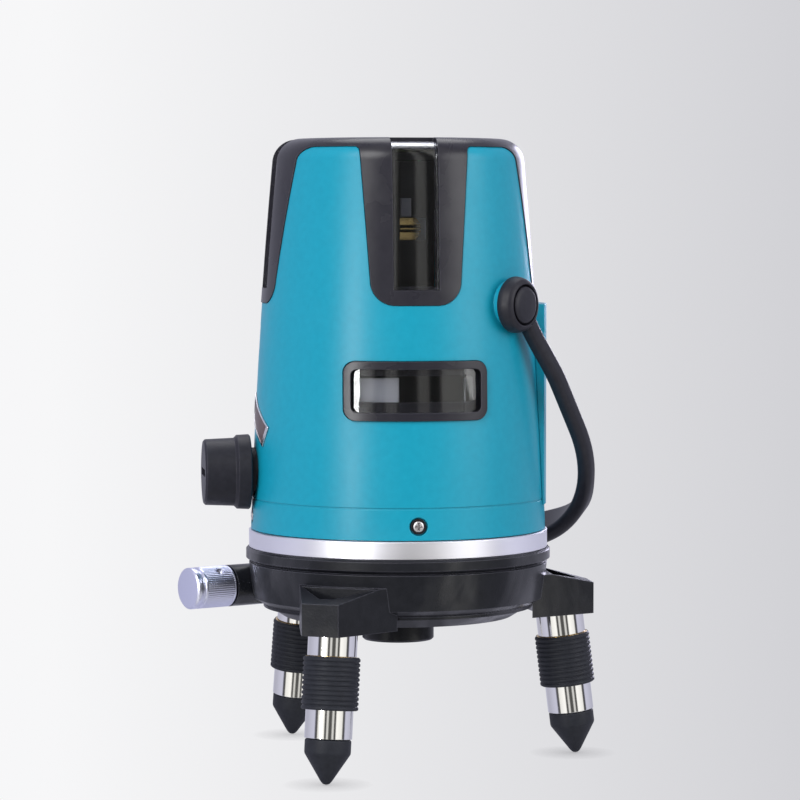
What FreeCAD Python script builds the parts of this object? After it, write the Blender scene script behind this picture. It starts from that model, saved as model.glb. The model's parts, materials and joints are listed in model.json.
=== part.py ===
"""Laser level on three screw legs, built piece by piece.

Millimetres.  +Z is up, the front window looks along -Y, and the origin is the
centre of the tripod thread's mouth under the base.  An azimuth is measured
from the front (-Y) towards the right (+X).
"""
import FreeCAD, Part
import math
import os

V = FreeCAD.Vector
UP = V(0, 0, 1)

# ---------------------------------------------------------------- driving sizes
# body of revolution: radius at the foot, at mid height and at the top
RING_RADIUS = 52.0
BODY_HEIGHT = 134.5
BODY_FOOT_RADIUS = RING_RADIUS - 0.7
BODY_MID_RADIUS = RING_RADIUS - 3.8
BODY_TOP_RADIUS = RING_RADIUS - 9.3
BODY_CORNER = 8.0
SHELL_WALL = 2.4
CAP_WALL = 3.4
CAP_PROUD = 0.35
LID_DEPTH = 2.7          # how far the cap's lid comes down the corner
SEAM = 0.15              # gap between mouldings that butt together
TURN_GAP = 0.3           # gap between parts that turn past each other
RUNNING = 0.05           # radial clearance of a shaft in its bush

# base drum
DRUM_RIM_RADIUS = RING_RADIUS + 1.0
DRUM_WAIST_RADIUS = RING_RADIUS
DRUM_TOE_RADIUS = RING_RADIUS - 1.5
DRUM_FLOOR_RADIUS = RING_RADIUS - 12.0
DRUM_WALL_INNER = RING_RADIUS - 5.0
DRUM_TOP = 32.8
DRUM_TOE = 15.3          # height where the side turns into the underside
DRUM_UNDERSIDE = 8.8
DRUM_FLOOR = 12.0
RIM_HEIGHT = 4.5
RING_HEIGHT = 6.2
SPIGOT_RADIUS = RING_RADIUS - 2.5
SPIGOT_HEIGHT = 3.2

# tripod socket and spindle
BOSS_RADIUS = 12.5
THREAD_RADIUS = 6.75     # crest of a 5/8 inch, 11 per inch, internal thread
THREAD_LENGTH = 10.0
INSERT_RADIUS = 10.0
HUB_RADIUS = 16.0
HUB_TOP = 26.0
BUSH_RADIUS = 11.0
BUSH_FLANGE = 1.5
JOURNAL_RADIUS = 9.0
PLUMB_RADIUS = 6.0       # clear way for the downward beam

# fine drive: a worm lying beside a wheel
TEETH = 72
MODULE = 1.0
WORM_PITCH_RADIUS = 4.0
GEAR_WIDTH = 4.0
WORM_HEIGHT = 17.8
WORM_AZIMUTH = 207.5     # where the worm lies closest to the centre
WORM_SHAFT_RADIUS = 2.4
WORM_BOSS_RADIUS = 7.3
WORM_BOSS_END = 45.0     # along the worm's axis, from its closest point
KNOB_RADIUS = 7.25
KNOB_LENGTH = 16.3

# legs
LEG_AZIMUTHS = (-30.0, 90.0, 210.0)
LEG_RADIUS = RING_RADIUS + 5.4        # of the leg's axis, at the legs' datum height
LEG_TILT = 7.0
LEG_TUBE_RADIUS = 8.3
LEG_TUBE_BORE = 6.5
LEG_INNER_RADIUS = 8.0
LEG_GRIP_RADIUS = 9.6
LEG_SCREW_RADIUS = 3.95
LEG_TUBE_SHOWN = 6.3
LEG_GRIP_LENGTH = 17.7
LEG_INNER_SHOWN = 9.5
FOOT_RADIUS = 7.8
FOOT_LENGTH = 15.4
FOOT_TIP = 2.6
LEG_TRAVEL = 6.0
LEG_DATUM = 7.3         # height from which distances down a leg count
LUG_UNDERSIDE = 8.6
LUG_TIP = RING_RADIUS + 16.3
LUG_TIP_HALF = 9.6
LUG_ROOT_HALF = 18.0
LUG_TOP_AT_TIP = 19.2
LUG_TOP_AT_ROOT = 23.3
SOCKET_DEPTH = 10.0

# cap tongues and upper windows
TONGUE_LENGTH = 56.0
TONGUE_TOP_HALF = 18.8    # front and rear
SIDE_TONGUE_TOP_HALF = 23.5
TONGUE_FLARE = 1.5        # radius of the corner under the lid
SIDE_TONGUE_FLARE = 5.5
TONGUE_FOOT_HALF = 15.3
TONGUE_CORNER = 8.0
CHANNEL_HALF = 7.8
CHANNEL_FOOT = 51.0      # below the top
CHANNEL_INNER = 30.5     # how far the channel runs in over the top, as a radius
GLASS = 1.2
GLASS_DEPTH = 1.1
LEDGE = 1.2

# lower window
BEZEL_WIDTH = 48.7
BEZEL_HEIGHT = 19.8
BEZEL_CORNER = 4.0
BEZEL_PROUD = 0.9
PANE_WIDTH = 44.2
PANE_HEIGHT = 14.6
APERTURE_WIDTH = 38.6
APERTURE_HEIGHT = 8.8

# handle
HANDLE_AZIMUTH = 45.0    # of the pivot that shows at the front
HANDLE_LEAN = 35.0       # outwards from straight down
HANDLE_STRAIGHT = 53.0   # length of the straight arms
HANDLE_THICK = 5.5
HANDLE_INNER_FACE = 2.6
HANDLE_ARM_FACE = 3.2
HANDLE_GRIP_FACE = 12.6
HUB_EYE_RADIUS = 9.6
PIVOT_RADIUS = 2.5

# pendulum lock on the left
LOCK_Z = 59.1
LOCK_KNOB_RADIUS = 11.6
LOCK_FLANGE_RADIUS = 13.0
LOCK_NECK_RADIUS = 8.4
LOCK_SHAFT_RADIUS = 3.0
LOCK_CRANK = 1.8
LOCK_PIN_RADIUS = 0.9

# battery cover on the right
COVER_HALF = 17.5
COVER_BOTTOM = 48.0
CELL_RADIUS = 9.1
CELL_X = 34.4
CELL_Y = 9.5
TRAY_X = 23.5            # back of the tray
TRAY_WALL = 1.5
TRAY_HALF = 20.0

# pendulum
GIMBAL_OUTER = 21.0
GIMBAL_INNER = 16.5
GIMBAL_HEIGHT = 5.0
CARRIER_INNER = 23.5
MODULE_RADIUS = 4.5
DAMPER_RADIUS = 18.0
DAMPER_Z = 73.5
POST_RING = 33.0
POST_RADIUS = 3.0
POST_AZIMUTHS = (45, 135, 225, 315)
MAGNET_Z = 66.0

# small pieces of the head
SOCKET_Z = 56.0
BOARD_Y = 30.0
BOARD_THICK = 1.6
KEYPAD_DEPTH = 10.5      # below the top
BUTTON_RADIUS = 4.4
BUTTONS_X = (-17.0, 17.0)
BUTTON_TRAVEL = 0.8
BUTTON_PROUD = 0.9
VIAL_RADIUS = 8.0
BADGE_AZIMUTH = -84.0
BADGE_Z = 77.5

# ---------------------------------------------------------------- worked out
RING_TOP = DRUM_TOP + RING_HEIGHT
BODY_FOOT = RING_TOP + TURN_GAP
BODY_TOP = BODY_FOOT + BODY_HEIGHT
GEAR_RADIUS = MODULE * TEETH / 2
WORM_DISTANCE = GEAR_RADIUS + WORM_PITCH_RADIUS
TURNTABLE_UNDER = 30.0
TURNTABLE_TOP = 33.0
CLUTCH_RADIUS = 22.0
CLUTCH_LOW = 24.0
CLUTCH_HIGH = 25.5
KNOB_START = WORM_BOSS_END + TURN_GAP
KNOB_SCREW_AT = KNOB_START + 5.5
KNOB_FLOOR = WORM_BOSS_END + KNOB_LENGTH - 4
SHELL_SCREW_Z = BODY_FOOT + 4.7
CREASE_Z = BODY_FOOT + 10.3
BEZEL_Z = BODY_FOOT + 49.9
LOWER_BEAM_Z = BEZEL_Z + 1.2
UPPER_BEAM_Z = BODY_TOP - 30.5
PIVOT_Z = BODY_TOP - 15.8
HANDLE_Z = BODY_TOP - 56.2
COVER_TOP = HANDLE_Z - TURN_GAP
COVER_FACE = BODY_FOOT_RADIUS + 0.3
CELL_LENGTH = COVER_TOP - COVER_BOTTOM - 4.3
HUB_START = BODY_MID_RADIUS + 0.4
HUB_END = HUB_START + 6.0
HANDLE_ARM = HUB_START + 5.9      # arm's centre line, from the body's centre
LOCK_BACK = BODY_FOOT_RADIUS + 0.7
LOCK_STEP = LOCK_BACK + 5.5
LOCK_END = LOCK_BACK + 16.0

os.makedirs("parts", exist_ok=True)


# ---------------------------------------------------------------- helpers
def save(shape, node):
    """Write one piece to its own file."""
    if shape.ShapeType not in ("Solid", "Compound", "CompSolid"):
        shape = Part.makeCompound([shape])
    if len(shape.Solids) == 1:
        shape = shape.Solids[0]
    shape.exportStep(f"parts/{node}.step")
    print(f"{node}: {len(shape.Solids)} solid(s), {shape.Volume:.0f} mm3")


def at(azimuth, radius, z=0.0):
    """The point at an azimuth from the front, a radius and a height."""
    a = math.radians(azimuth)
    return V(radius * math.sin(a), -radius * math.cos(a), z)


def cylinder(radius, low, high, x=0.0, y=0.0):
    return Part.makeCylinder(radius, high - low, V(x, y, low), UP)


def tube(outer, inner, low, high):
    return cylinder(outer, low, high).cut(cylinder(inner, low - 1, high + 1))


def rod(radius, start, direction, length):
    return Part.makeCylinder(radius, length, start, direction)


def box(x0, x1, y0, y1, z0, z1):
    return Part.makeBox(x1 - x0, y1 - y0, z1 - z0, V(x0, y0, z0))


def turned(points):
    """A solid turned about Z from (radius, height) points."""
    wire = Part.makePolygon([V(r, 0, z) for r, z in points + points[:1]])
    return Part.Face(wire).revolve(V(0, 0, 0), UP, 360)


def to_azimuth(shape, azimuth):
    """A copy of a piece built at the front, turned to an azimuth."""
    copy = shape.copy()
    copy.rotate(V(0, 0, 0), UP, azimuth)
    return copy


def all_around(shape, azimuths=(0, 90, 180, 270)):
    return [to_azimuth(shape, a) for a in azimuths]


def body_solid(depth):
    """The body's outer form, set in by a depth; it runs on below the foot."""
    foot = V(BODY_FOOT_RADIUS - depth, 0, BODY_FOOT)
    middle = V(BODY_MID_RADIUS - depth, 0, BODY_FOOT + BODY_HEIGHT * 0.48)
    top = V(BODY_TOP_RADIUS - depth, 0, BODY_TOP - depth)
    edges = [
        Part.makeLine(V(0, 0, BODY_FOOT), foot),
        Part.Arc(foot, middle, top).toShape(),
        Part.makeLine(top, V(0, 0, BODY_TOP - depth)),
        Part.makeLine(V(0, 0, BODY_TOP - depth), V(0, 0, BODY_FOOT)),
    ]
    solid = Part.Face(Part.Wire(edges)).revolve(V(0, 0, 0), UP, 360)
    rim = [e for e in solid.Edges if e.Length > 100 and e.BoundBox.ZMin > BODY_TOP - depth - 0.01]
    return solid.makeFillet(BODY_CORNER - depth, rim[:1])


def skin(outside, inside):
    """The layer of the body between two depths."""
    return body_solid(outside).cut(body_solid(inside))


def plate_at_front(outline, near=20.0, far=60.0):
    """A prism through the front wall from a closed wire in X and Z."""
    face = Part.Face(outline)
    face.translate(V(0, -far, 0))
    return face.extrude(V(0, far - near, 0))


def rounded_rectangle(width, height, corner, z):
    """A closed wire in X and Z, centred on X = 0."""
    w, h, c = width / 2, height / 2, corner
    k = c * (1 - math.sqrt(0.5))
    corners = [(w, h, 1, 1), (-w, h, -1, 1), (-w, -h, -1, -1), (w, -h, 1, -1)]
    edges = []
    last = None
    for n, (x, y, sx, sy) in enumerate(corners):
        on_side = V(x, 0, z + y - sy * c)
        on_top = V(x - sx * c, 0, z + y)
        middle = V(x - sx * k, 0, z + y - sy * k)
        first, second = (on_side, on_top) if n % 2 == 0 else (on_top, on_side)
        if last is not None:
            edges.append(Part.makeLine(last, first))
        edges.append(Part.Arc(first, middle, second).toShape())
        last = second
    edges.append(Part.makeLine(last, V(w, 0, z + h - c)))
    return Part.Wire(edges)


def tongue_outline(grow, half_top, flare):
    """A cap tongue's outline: flared under the lid, rounded at its foot."""
    top = BODY_TOP + 5
    lid = BODY_TOP - LID_DEPTH - grow
    foot = BODY_TOP - TONGUE_LENGTH - grow
    half_foot = TONGUE_FOOT_HALF + grow
    corner = TONGUE_CORNER + grow
    k = corner * (1 - math.sqrt(0.5))
    bend = lid - flare
    rise = (bend - foot - corner) / (top - foot - corner)
    half_bend = half_foot + (half_top + grow - half_foot) * rise
    half_lid = half_bend + flare
    swing = flare * math.sqrt(0.5)
    low_end = V(half_foot - corner, 0, foot)
    half = [
        Part.makeLine(V(0, 0, top), V(half_lid, 0, top)),
        Part.makeLine(V(half_lid, 0, top), V(half_lid, 0, lid)),
        Part.Arc(V(half_lid, 0, lid), V(half_lid - swing, 0, bend + swing), V(half_bend, 0, bend)).toShape(),
        Part.makeLine(V(half_bend, 0, bend), V(half_foot, 0, foot + corner)),
        Part.Arc(V(half_foot, 0, foot + corner), V(half_foot - k, 0, foot + k), low_end).toShape(),
        Part.makeLine(low_end, V(0, 0, foot)),
    ]
    other = [edge.mirror(V(0, 0, 0), V(1, 0, 0)) for edge in half]
    edges = Part.__sortEdges__(half + other)
    return Part.Wire(edges)


# ---------------------------------------------------------------- worm layout
WORM_AXIS = at(WORM_AZIMUTH + 90, 1.0)
WORM_CENTRE = at(WORM_AZIMUTH, WORM_DISTANCE, WORM_HEIGHT)


def on_worm(distance):
    return WORM_CENTRE + WORM_AXIS * distance


def worm_rod(radius, start, end):
    return rod(radius, on_worm(start), WORM_AXIS, end - start)


# ---------------------------------------------------------------- leg layout
def leg_rod(radius, start, end):
    """A cylinder along the front leg's axis, from start to end down it."""
    tilt = math.radians(LEG_TILT)
    down = V(0, -math.sin(tilt), -math.cos(tilt))
    origin = V(0, -LEG_RADIUS, LEG_DATUM)
    return rod(radius, origin + down * start, down, end - start)


def leg_square(width, start, end):
    """A square bar along the front leg's axis."""
    bar = Part.makeBox(width, width, end - start, V(-width / 2, -width / 2, -end))
    bar.rotate(V(0, 0, 0), V(1, 0, 0), -LEG_TILT)
    bar.translate(V(0, -LEG_RADIUS, LEG_DATUM))
    return bar


def leg_turned(points):
    """A turned piece along the front leg's axis from (radius, distance) points."""
    piece = turned([(r, -s) for r, s in points])
    piece.rotate(V(0, 0, 0), V(1, 0, 0), -LEG_TILT)
    piece.translate(V(0, -LEG_RADIUS, LEG_DATUM))
    return piece


GRIP_START = LEG_TUBE_SHOWN + 0.2
GRIP_END = GRIP_START + LEG_GRIP_LENGTH
FOOT_START = GRIP_END + LEG_INNER_SHOWN
FOOT_END = FOOT_START + FOOT_LENGTH
SCREW_TOP = LEG_TRAVEL - SOCKET_DEPTH + 1.0
INNER_TOP = GRIP_START + 2.2 + LEG_TRAVEL + 1.0
GUIDE_WIDTH = 3.0


# ---------------------------------------------------------------- base pieces
def lug():
    """One leg lug at the front: a tapered arm with a sunk top."""
    root = DRUM_TOE_RADIUS - 6
    plan = [
        V(-LUG_ROOT_HALF, -root, LUG_UNDERSIDE),
        V(-LUG_TIP_HALF, -LUG_TIP + 6, LUG_UNDERSIDE),
        V(-LUG_TIP_HALF + 3, -LUG_TIP, LUG_UNDERSIDE),
        V(LUG_TIP_HALF - 3, -LUG_TIP, LUG_UNDERSIDE),
        V(LUG_TIP_HALF, -LUG_TIP + 6, LUG_UNDERSIDE),
        V(LUG_ROOT_HALF, -root, LUG_UNDERSIDE),
    ]
    arm = Part.Face(Part.makePolygon(plan + plan[:1])).extrude(V(0, 0, 20))
    slope = [
        V(-30, -DRUM_WAIST_RADIUS, LUG_TOP_AT_ROOT),
        V(-30, -LUG_TIP - 1, LUG_TOP_AT_TIP),
        V(-30, -LUG_TIP - 1, LUG_TOP_AT_ROOT + 9),
        V(-30, -root + 1, LUG_TOP_AT_ROOT + 9),
        V(-30, -root + 1, LUG_TOP_AT_ROOT),
    ]
    above = Part.Face(Part.makePolygon(slope + slope[:1])).extrude(V(60, 0, 0))
    floor = LUG_TOP_AT_TIP - 0.5
    pocket = [
        V(-LUG_ROOT_HALF + 4.5, -DRUM_WAIST_RADIUS - 0.5, floor),
        V(-2.5, -LUG_TIP + 5.0, floor),
        V(2.5, -LUG_TIP + 5.0, floor),
        V(LUG_ROOT_HALF - 4.5, -DRUM_WAIST_RADIUS - 0.5, floor),
    ]
    sunk = Part.Face(Part.makePolygon(pocket + pocket[:1])).extrude(V(0, 0, 20))
    inside = cylinder(DRUM_WALL_INNER + 1, LUG_UNDERSIDE - 1, 40)
    return arm.cut(above).cut(sunk).cut(inside)


def base_housing():
    waist = DRUM_TOP - RIM_HEIGHT
    drum = turned([
        (INSERT_RADIUS, 0), (BOSS_RADIUS - 0.6, 0), (BOSS_RADIUS, 0.6), (BOSS_RADIUS, DRUM_UNDERSIDE),
        (DRUM_FLOOR_RADIUS, DRUM_UNDERSIDE), (DRUM_TOE_RADIUS, DRUM_TOE),
        (DRUM_WAIST_RADIUS, waist - 0.8), (DRUM_WAIST_RADIUS - 0.8, waist - 0.4),
        (DRUM_RIM_RADIUS, waist + 0.8), (DRUM_RIM_RADIUS, DRUM_TOP - 0.7),
        (DRUM_RIM_RADIUS - 0.7, DRUM_TOP), (SPIGOT_RADIUS, DRUM_TOP),
        (SPIGOT_RADIUS, DRUM_TOP + SPIGOT_HEIGHT), (DRUM_WALL_INNER + 0.5, DRUM_TOP + SPIGOT_HEIGHT),
        (DRUM_WALL_INNER + 0.5, DRUM_TOP - 2), (DRUM_WALL_INNER, DRUM_TOP - 4),
        (DRUM_WALL_INNER, DRUM_FLOOR), (HUB_RADIUS, DRUM_FLOOR), (HUB_RADIUS, HUB_TOP),
        (BUSH_RADIUS, HUB_TOP), (BUSH_RADIUS, DRUM_FLOOR + 2), (THREAD_RADIUS + 0.75, DRUM_FLOOR + 2),
        (THREAD_RADIUS + 0.75, THREAD_LENGTH), (INSERT_RADIUS, THREAD_LENGTH),
    ])
    lugs = all_around(lug(), LEG_AZIMUTHS)
    worm_boss = worm_rod(WORM_BOSS_RADIUS, 20, WORM_BOSS_END).cut(cylinder(DRUM_WALL_INNER + 1, 0, 40))
    back, front = -WORM_DISTANCE - 5.3, -WORM_DISTANCE + 5.3
    pillar = to_azimuth(box(-22.5, -14.5, back, front, DRUM_FLOOR - 1, WORM_HEIGHT + 5.3), WORM_AZIMUTH)
    solid = drum.multiFuse(lugs + [worm_boss, pillar])
    sockets = all_around(leg_rod(LEG_TUBE_RADIUS, -SOCKET_DEPTH, 12), LEG_AZIMUTHS)
    bush = WORM_SHAFT_RADIUS + 1.4
    bores = [worm_rod(bush, 20, WORM_BOSS_END + 1), worm_rod(bush, -23, -14)]
    return solid.cut(Part.makeCompound(sockets + bores)).removeSplitter()


def tripod_thread_insert():
    return turned([
        (THREAD_RADIUS, 0.0), (INSERT_RADIUS, 0.0), (INSERT_RADIUS, 4.0), (INSERT_RADIUS - 0.6, 4.0),
        (INSERT_RADIUS - 0.6, 6.0), (INSERT_RADIUS, 6.0), (INSERT_RADIUS, THREAD_LENGTH),
        (THREAD_RADIUS, THREAD_LENGTH),
    ])


def scale_ring():
    inner = SPIGOT_RADIUS + RUNNING
    return turned([
        (inner, DRUM_TOP), (RING_RADIUS - 0.3, DRUM_TOP), (RING_RADIUS, DRUM_TOP + 0.3),
        (RING_RADIUS, RING_TOP - 0.3), (RING_RADIUS - 0.3, RING_TOP), (inner, RING_TOP),
    ])


def spindle_bush():
    flange = HUB_TOP + BUSH_FLANGE
    return turned([
        (JOURNAL_RADIUS, DRUM_FLOOR + 5), (BUSH_RADIUS, DRUM_FLOOR + 5), (BUSH_RADIUS, HUB_TOP),
        (HUB_RADIUS - 0.5, HUB_TOP), (HUB_RADIUS - 0.5, flange), (JOURNAL_RADIUS, flange),
    ])


def worm_bushes():
    """Two plain bushes, one in the outer boss and one in the inner pillar."""
    bore = WORM_SHAFT_RADIUS + RUNNING
    outside = WORM_SHAFT_RADIUS + 1.4
    outer = worm_rod(outside, 30, WORM_BOSS_END).cut(worm_rod(bore, 29, WORM_BOSS_END + 1))
    inner = worm_rod(outside, -22.5, -14.5).cut(worm_rod(bore, -24, -14))
    return Part.makeCompound([outer, inner])


def leg_upper_tube():
    return leg_rod(LEG_TUBE_RADIUS, -SOCKET_DEPTH, LEG_TUBE_SHOWN).cut(
        leg_rod(LEG_TUBE_BORE, -SOCKET_DEPTH - 1, LEG_TUBE_SHOWN + 1))


def leg_guide_pin():
    return leg_square(GUIDE_WIDTH, -SOCKET_DEPTH, INNER_TOP - LEG_TRAVEL - 1.5)


# ---------------------------------------------------------------- moving leg pieces
def leg_nut():
    spigot = LEG_TUBE_BORE - RUNNING
    bore = LEG_SCREW_RADIUS + RUNNING
    sleeve = LEG_INNER_RADIUS + TURN_GAP
    outside = sleeve + 0.6
    return leg_turned([
        (bore, LEG_TRAVEL - SOCKET_DEPTH), (spigot, LEG_TRAVEL - SOCKET_DEPTH), (spigot, GRIP_START),
        (outside, GRIP_START), (outside, GRIP_END), (sleeve, GRIP_END), (sleeve, GRIP_START + 2),
        (bore, GRIP_START + 2),
    ])


def leg_grip():
    """The rubber sleeve: a row of saw-tooth ribs."""
    inner = LEG_INNER_RADIUS + TURN_GAP + 0.6
    ribs = 9
    pitch = LEG_GRIP_LENGTH / ribs
    points = [(inner, GRIP_START)]
    for n in range(ribs):
        start = GRIP_START + n * pitch
        points += [(LEG_GRIP_RADIUS - 0.5, start), (LEG_GRIP_RADIUS, start + 0.35 * pitch),
                   (LEG_GRIP_RADIUS, start + 0.85 * pitch)]
    points += [(LEG_GRIP_RADIUS - 0.5, GRIP_END), (inner, GRIP_END)]
    return leg_turned(points)


def leg_screw_tube():
    """The chromed lower tube with its lifting screw."""
    body = leg_turned([
        (0, SCREW_TOP), (LEG_SCREW_RADIUS, SCREW_TOP), (LEG_SCREW_RADIUS, INNER_TOP),
        (LEG_INNER_RADIUS, INNER_TOP), (LEG_INNER_RADIUS, FOOT_START), (0, FOOT_START),
    ])
    return body.cut(leg_square(GUIDE_WIDTH + 0.3, SCREW_TOP - 1, INNER_TOP))


def leg_foot():
    tip = FOOT_END - FOOT_TIP
    points = [(0, FOOT_START), (FOOT_RADIUS, FOOT_START), (FOOT_RADIUS, FOOT_START + 5)]
    for n in range(5):
        a = math.radians(30 + 60 * n / 4)
        points.append((FOOT_TIP * math.cos(a), tip + FOOT_TIP * math.sin(a)))
    points[-1] = (0, FOOT_END)
    return leg_turned(points)


# ---------------------------------------------------------------- fine drive
def drive_gear():
    low = WORM_HEIGHT - GEAR_WIDTH / 2
    high = WORM_HEIGHT + GEAR_WIDTH / 2
    bore = HUB_RADIUS + RUNNING
    wheel = tube(GEAR_RADIUS + 0.9 * MODULE, bore, low, high)
    collar = tube(CLUTCH_RADIUS, bore, high, CLUTCH_LOW)
    root = GEAR_RADIUS - 1.15 * MODULE
    half_root, half_tip = 0.7, 1.25
    tip = GEAR_RADIUS + 1.4 * MODULE
    slot = [V(-half_root, -root, low - 1), V(-half_tip, -tip, low - 1), V(half_tip, -tip, low - 1),
            V(half_root, -root, low - 1)]
    cutter = Part.Face(Part.makePolygon(slot + slot[:1])).extrude(V(0, 0, GEAR_WIDTH + 2))
    step = 360 / TEETH
    slots = all_around(cutter, [WORM_AZIMUTH + n * step for n in range(TEETH)])
    holes = all_around(cylinder(4.5, low - 1, high + 1, 0, -28.5), [60 * n for n in range(6)])
    return wheel.cut(Part.makeCompound(slots + holes)).fuse(collar).removeSplitter()


def clutch_washer():
    return tube(CLUTCH_RADIUS, HUB_RADIUS + 0.5, CLUTCH_LOW, CLUTCH_HIGH)


def worm_shaft():
    """The worm, its thread drawn as rings one pitch apart."""
    pitch = math.pi * MODULE
    outer, root = WORM_PITCH_RADIUS + 0.9 * MODULE, WORM_PITCH_RADIUS - 1.1 * MODULE
    profile = [(0, -23), (WORM_SHAFT_RADIUS, -23), (WORM_SHAFT_RADIUS, -14.2), (root, -14.2)]
    for n in range(-4, 5):
        centre = n * pitch
        profile += [(root, centre - 0.75), (outer, centre - 0.4)]
        profile += [(outer, centre + 0.4), (root, centre + 0.75)]
    profile += [(root, 14.2), (WORM_SHAFT_RADIUS, 14.2), (WORM_SHAFT_RADIUS, KNOB_FLOOR), (0, KNOB_FLOOR)]
    shaft = turned(profile)
    shaft.Placement = FreeCAD.Placement(WORM_CENTRE, FreeCAD.Rotation(UP, WORM_AXIS))
    return shaft


def knob_screw_rod(radius, start, end):
    """A rod across the fine knob, rising towards the front."""
    side = WORM_AXIS.cross(UP) * -0.55 + UP * 0.83
    side.normalize()
    return rod(radius, on_worm(KNOB_SCREW_AT) + side * start, side, end - start)


def fine_adjust_knob():
    end = KNOB_START + KNOB_LENGTH
    profile = [
        (WORM_SHAFT_RADIUS, KNOB_START), (KNOB_RADIUS - 0.5, KNOB_START), (KNOB_RADIUS, KNOB_START + 0.5),
        (KNOB_RADIUS, end - 3.4), (KNOB_RADIUS - 0.6, end - 3.1), (KNOB_RADIUS - 0.6, end - 2.5),
        (KNOB_RADIUS, end - 2.2), (KNOB_RADIUS, end - 0.5), (KNOB_RADIUS - 0.5, end),
        (0, end), (0, KNOB_FLOOR), (WORM_SHAFT_RADIUS, KNOB_FLOOR),
    ]
    knob = turned(profile)
    knob.Placement = FreeCAD.Placement(WORM_CENTRE, FreeCAD.Rotation(UP, WORM_AXIS))
    knob = knob.cut(knob_screw_rod(1.5, 0, KNOB_RADIUS + 1))
    return knob.cut(worm_rod(WORM_SHAFT_RADIUS, KNOB_START - 1, KNOB_START + 3))


def knob_set_screw():
    shank = knob_screw_rod(1.5, WORM_SHAFT_RADIUS, KNOB_RADIUS - 1.2)
    return shank.cut(knob_screw_rod(0.7, KNOB_RADIUS - 2.6, KNOB_RADIUS))


# ---------------------------------------------------------------- turning head: structure
def turntable():
    rim_outer = BODY_FOOT_RADIUS - SHELL_WALL - 0.2
    journal = JOURNAL_RADIUS - RUNNING
    thrust = HUB_TOP + BUSH_FLANGE + TURN_GAP
    seat = CLUTCH_HIGH + SEAM
    return turned([
        (PLUMB_RADIUS, DRUM_FLOOR + 3), (journal - 1, DRUM_FLOOR + 3), (journal - 1, DRUM_FLOOR + 3.4),
        (journal, DRUM_FLOOR + 3.4), (journal, thrust), (HUB_RADIUS, thrust), (HUB_RADIUS + 0.5, seat),
        (CLUTCH_RADIUS, seat), (CLUTCH_RADIUS + 2, TURNTABLE_UNDER), (DRUM_WALL_INNER - 0.2, TURNTABLE_UNDER),
        (DRUM_WALL_INNER - 0.2, RING_TOP + TURN_GAP + 0.4), (rim_outer, RING_TOP + TURN_GAP + 0.4),
        (rim_outer - 0.4, RING_TOP + 9.2), (DRUM_WALL_INNER - 3, RING_TOP + 9.2),
        (DRUM_WALL_INNER - 3, TURNTABLE_TOP), (PLUMB_RADIUS, TURNTABLE_TOP),
    ]).cut(Part.makeCompound(shell_screw_rods(1.3, 38.0, 60.0)))


def shell_screw_rods(radius, near, far):
    return all_around(rod(radius, V(0, -near, SHELL_SCREW_Z), V(0, -1, 0), far - near))


def shell_screws():
    """Four pan screws, sunk in the shell, with cross recesses."""
    head = BODY_FOOT_RADIUS - 1.6
    rods = all_around(rod(1.3, V(0, -head, SHELL_SCREW_Z), V(0, 1, 0), 6.5))
    heads = all_around(rod(2.5, V(0, -head, SHELL_SCREW_Z), V(0, -1, 0), 1.2))
    across = box(-1.6, 1.6, -head - 2, -head - 0.4, SHELL_SCREW_Z - 0.3, SHELL_SCREW_Z + 0.3)
    upright = box(-0.3, 0.3, -head - 2, -head - 0.4, SHELL_SCREW_Z - 1.6, SHELL_SCREW_Z + 1.6)
    cross = all_around(across.fuse(upright))
    return Part.makeCompound([r.fuse(h).cut(c) for r, h, c in zip(rods, heads, cross)])


def spindle_clip():
    """The spring clip that keeps the spindle in its bush."""
    low, high = DRUM_FLOOR + 3.4, DRUM_FLOOR + 4.6
    ring = tube(BUSH_RADIUS - 0.4, JOURNAL_RADIUS - RUNNING, low, high)
    return ring.cut(box(-2, 2, -20, 0, low - 1, high + 1))


def chassis_frame():
    """Four posts, the carrier ring of the gimbal and the magnet plate."""
    posts = all_around(cylinder(POST_RADIUS, TURNTABLE_TOP, BODY_TOP - CAP_WALL, 0, -POST_RING), POST_AZIMUTHS)
    half = GIMBAL_HEIGHT / 2
    carrier = tube(POST_RING + 1.5, CARRIER_INNER, PIVOT_Z - half, PIVOT_Z + half)
    plate = tube(POST_RING + 1.5, 13.4, MAGNET_Z - 3.5, MAGNET_Z)
    sides = [rod(1.5 + RUNNING, V(s * 20, 0, PIVOT_Z), V(s, 0, 0), 20) for s in (1, -1)]
    windows = all_around(box(-9, 9, -45, -29, PIVOT_Z - 9, PIVOT_Z + 9))
    tray = box(TRAY_X - 0.2, 50, -TRAY_HALF - TURN_GAP, TRAY_HALF + TURN_GAP, 40, HANDLE_Z + 2.4)
    board = box(-22.3, 22.3, BOARD_Y - TURN_GAP, 50, 40, HANDLE_Z + 2.4)
    frame = posts[0].multiFuse(posts[1:] + [carrier, plate])
    frame = frame.cut(Part.makeCompound(sides + [tray, board]))
    return frame.cut(Part.makeCompound(windows)).removeSplitter()


# ---------------------------------------------------------------- turning head: covers
def tongues(grow):
    narrow = plate_at_front(tongue_outline(grow, TONGUE_TOP_HALF, TONGUE_FLARE))
    wide = plate_at_front(tongue_outline(grow, SIDE_TONGUE_TOP_HALF, SIDE_TONGUE_FLARE))
    prisms = all_around(narrow, (0, 180)) + all_around(wide, (90, 270))
    lid = box(-60, 60, -60, 60, BODY_TOP - LID_DEPTH - grow, BODY_TOP + 5)
    return prisms[0].multiFuse(prisms[1:] + [lid])


def pivot_rods(radius, near, far):
    """Rods along the handle's pivot axis, one each side."""
    one = rod(radius, V(0, -near, HANDLE_Z), V(0, -1, 0), far - near)
    return all_around(one, (HANDLE_AZIMUTH, HANDLE_AZIMUTH + 180))


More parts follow.
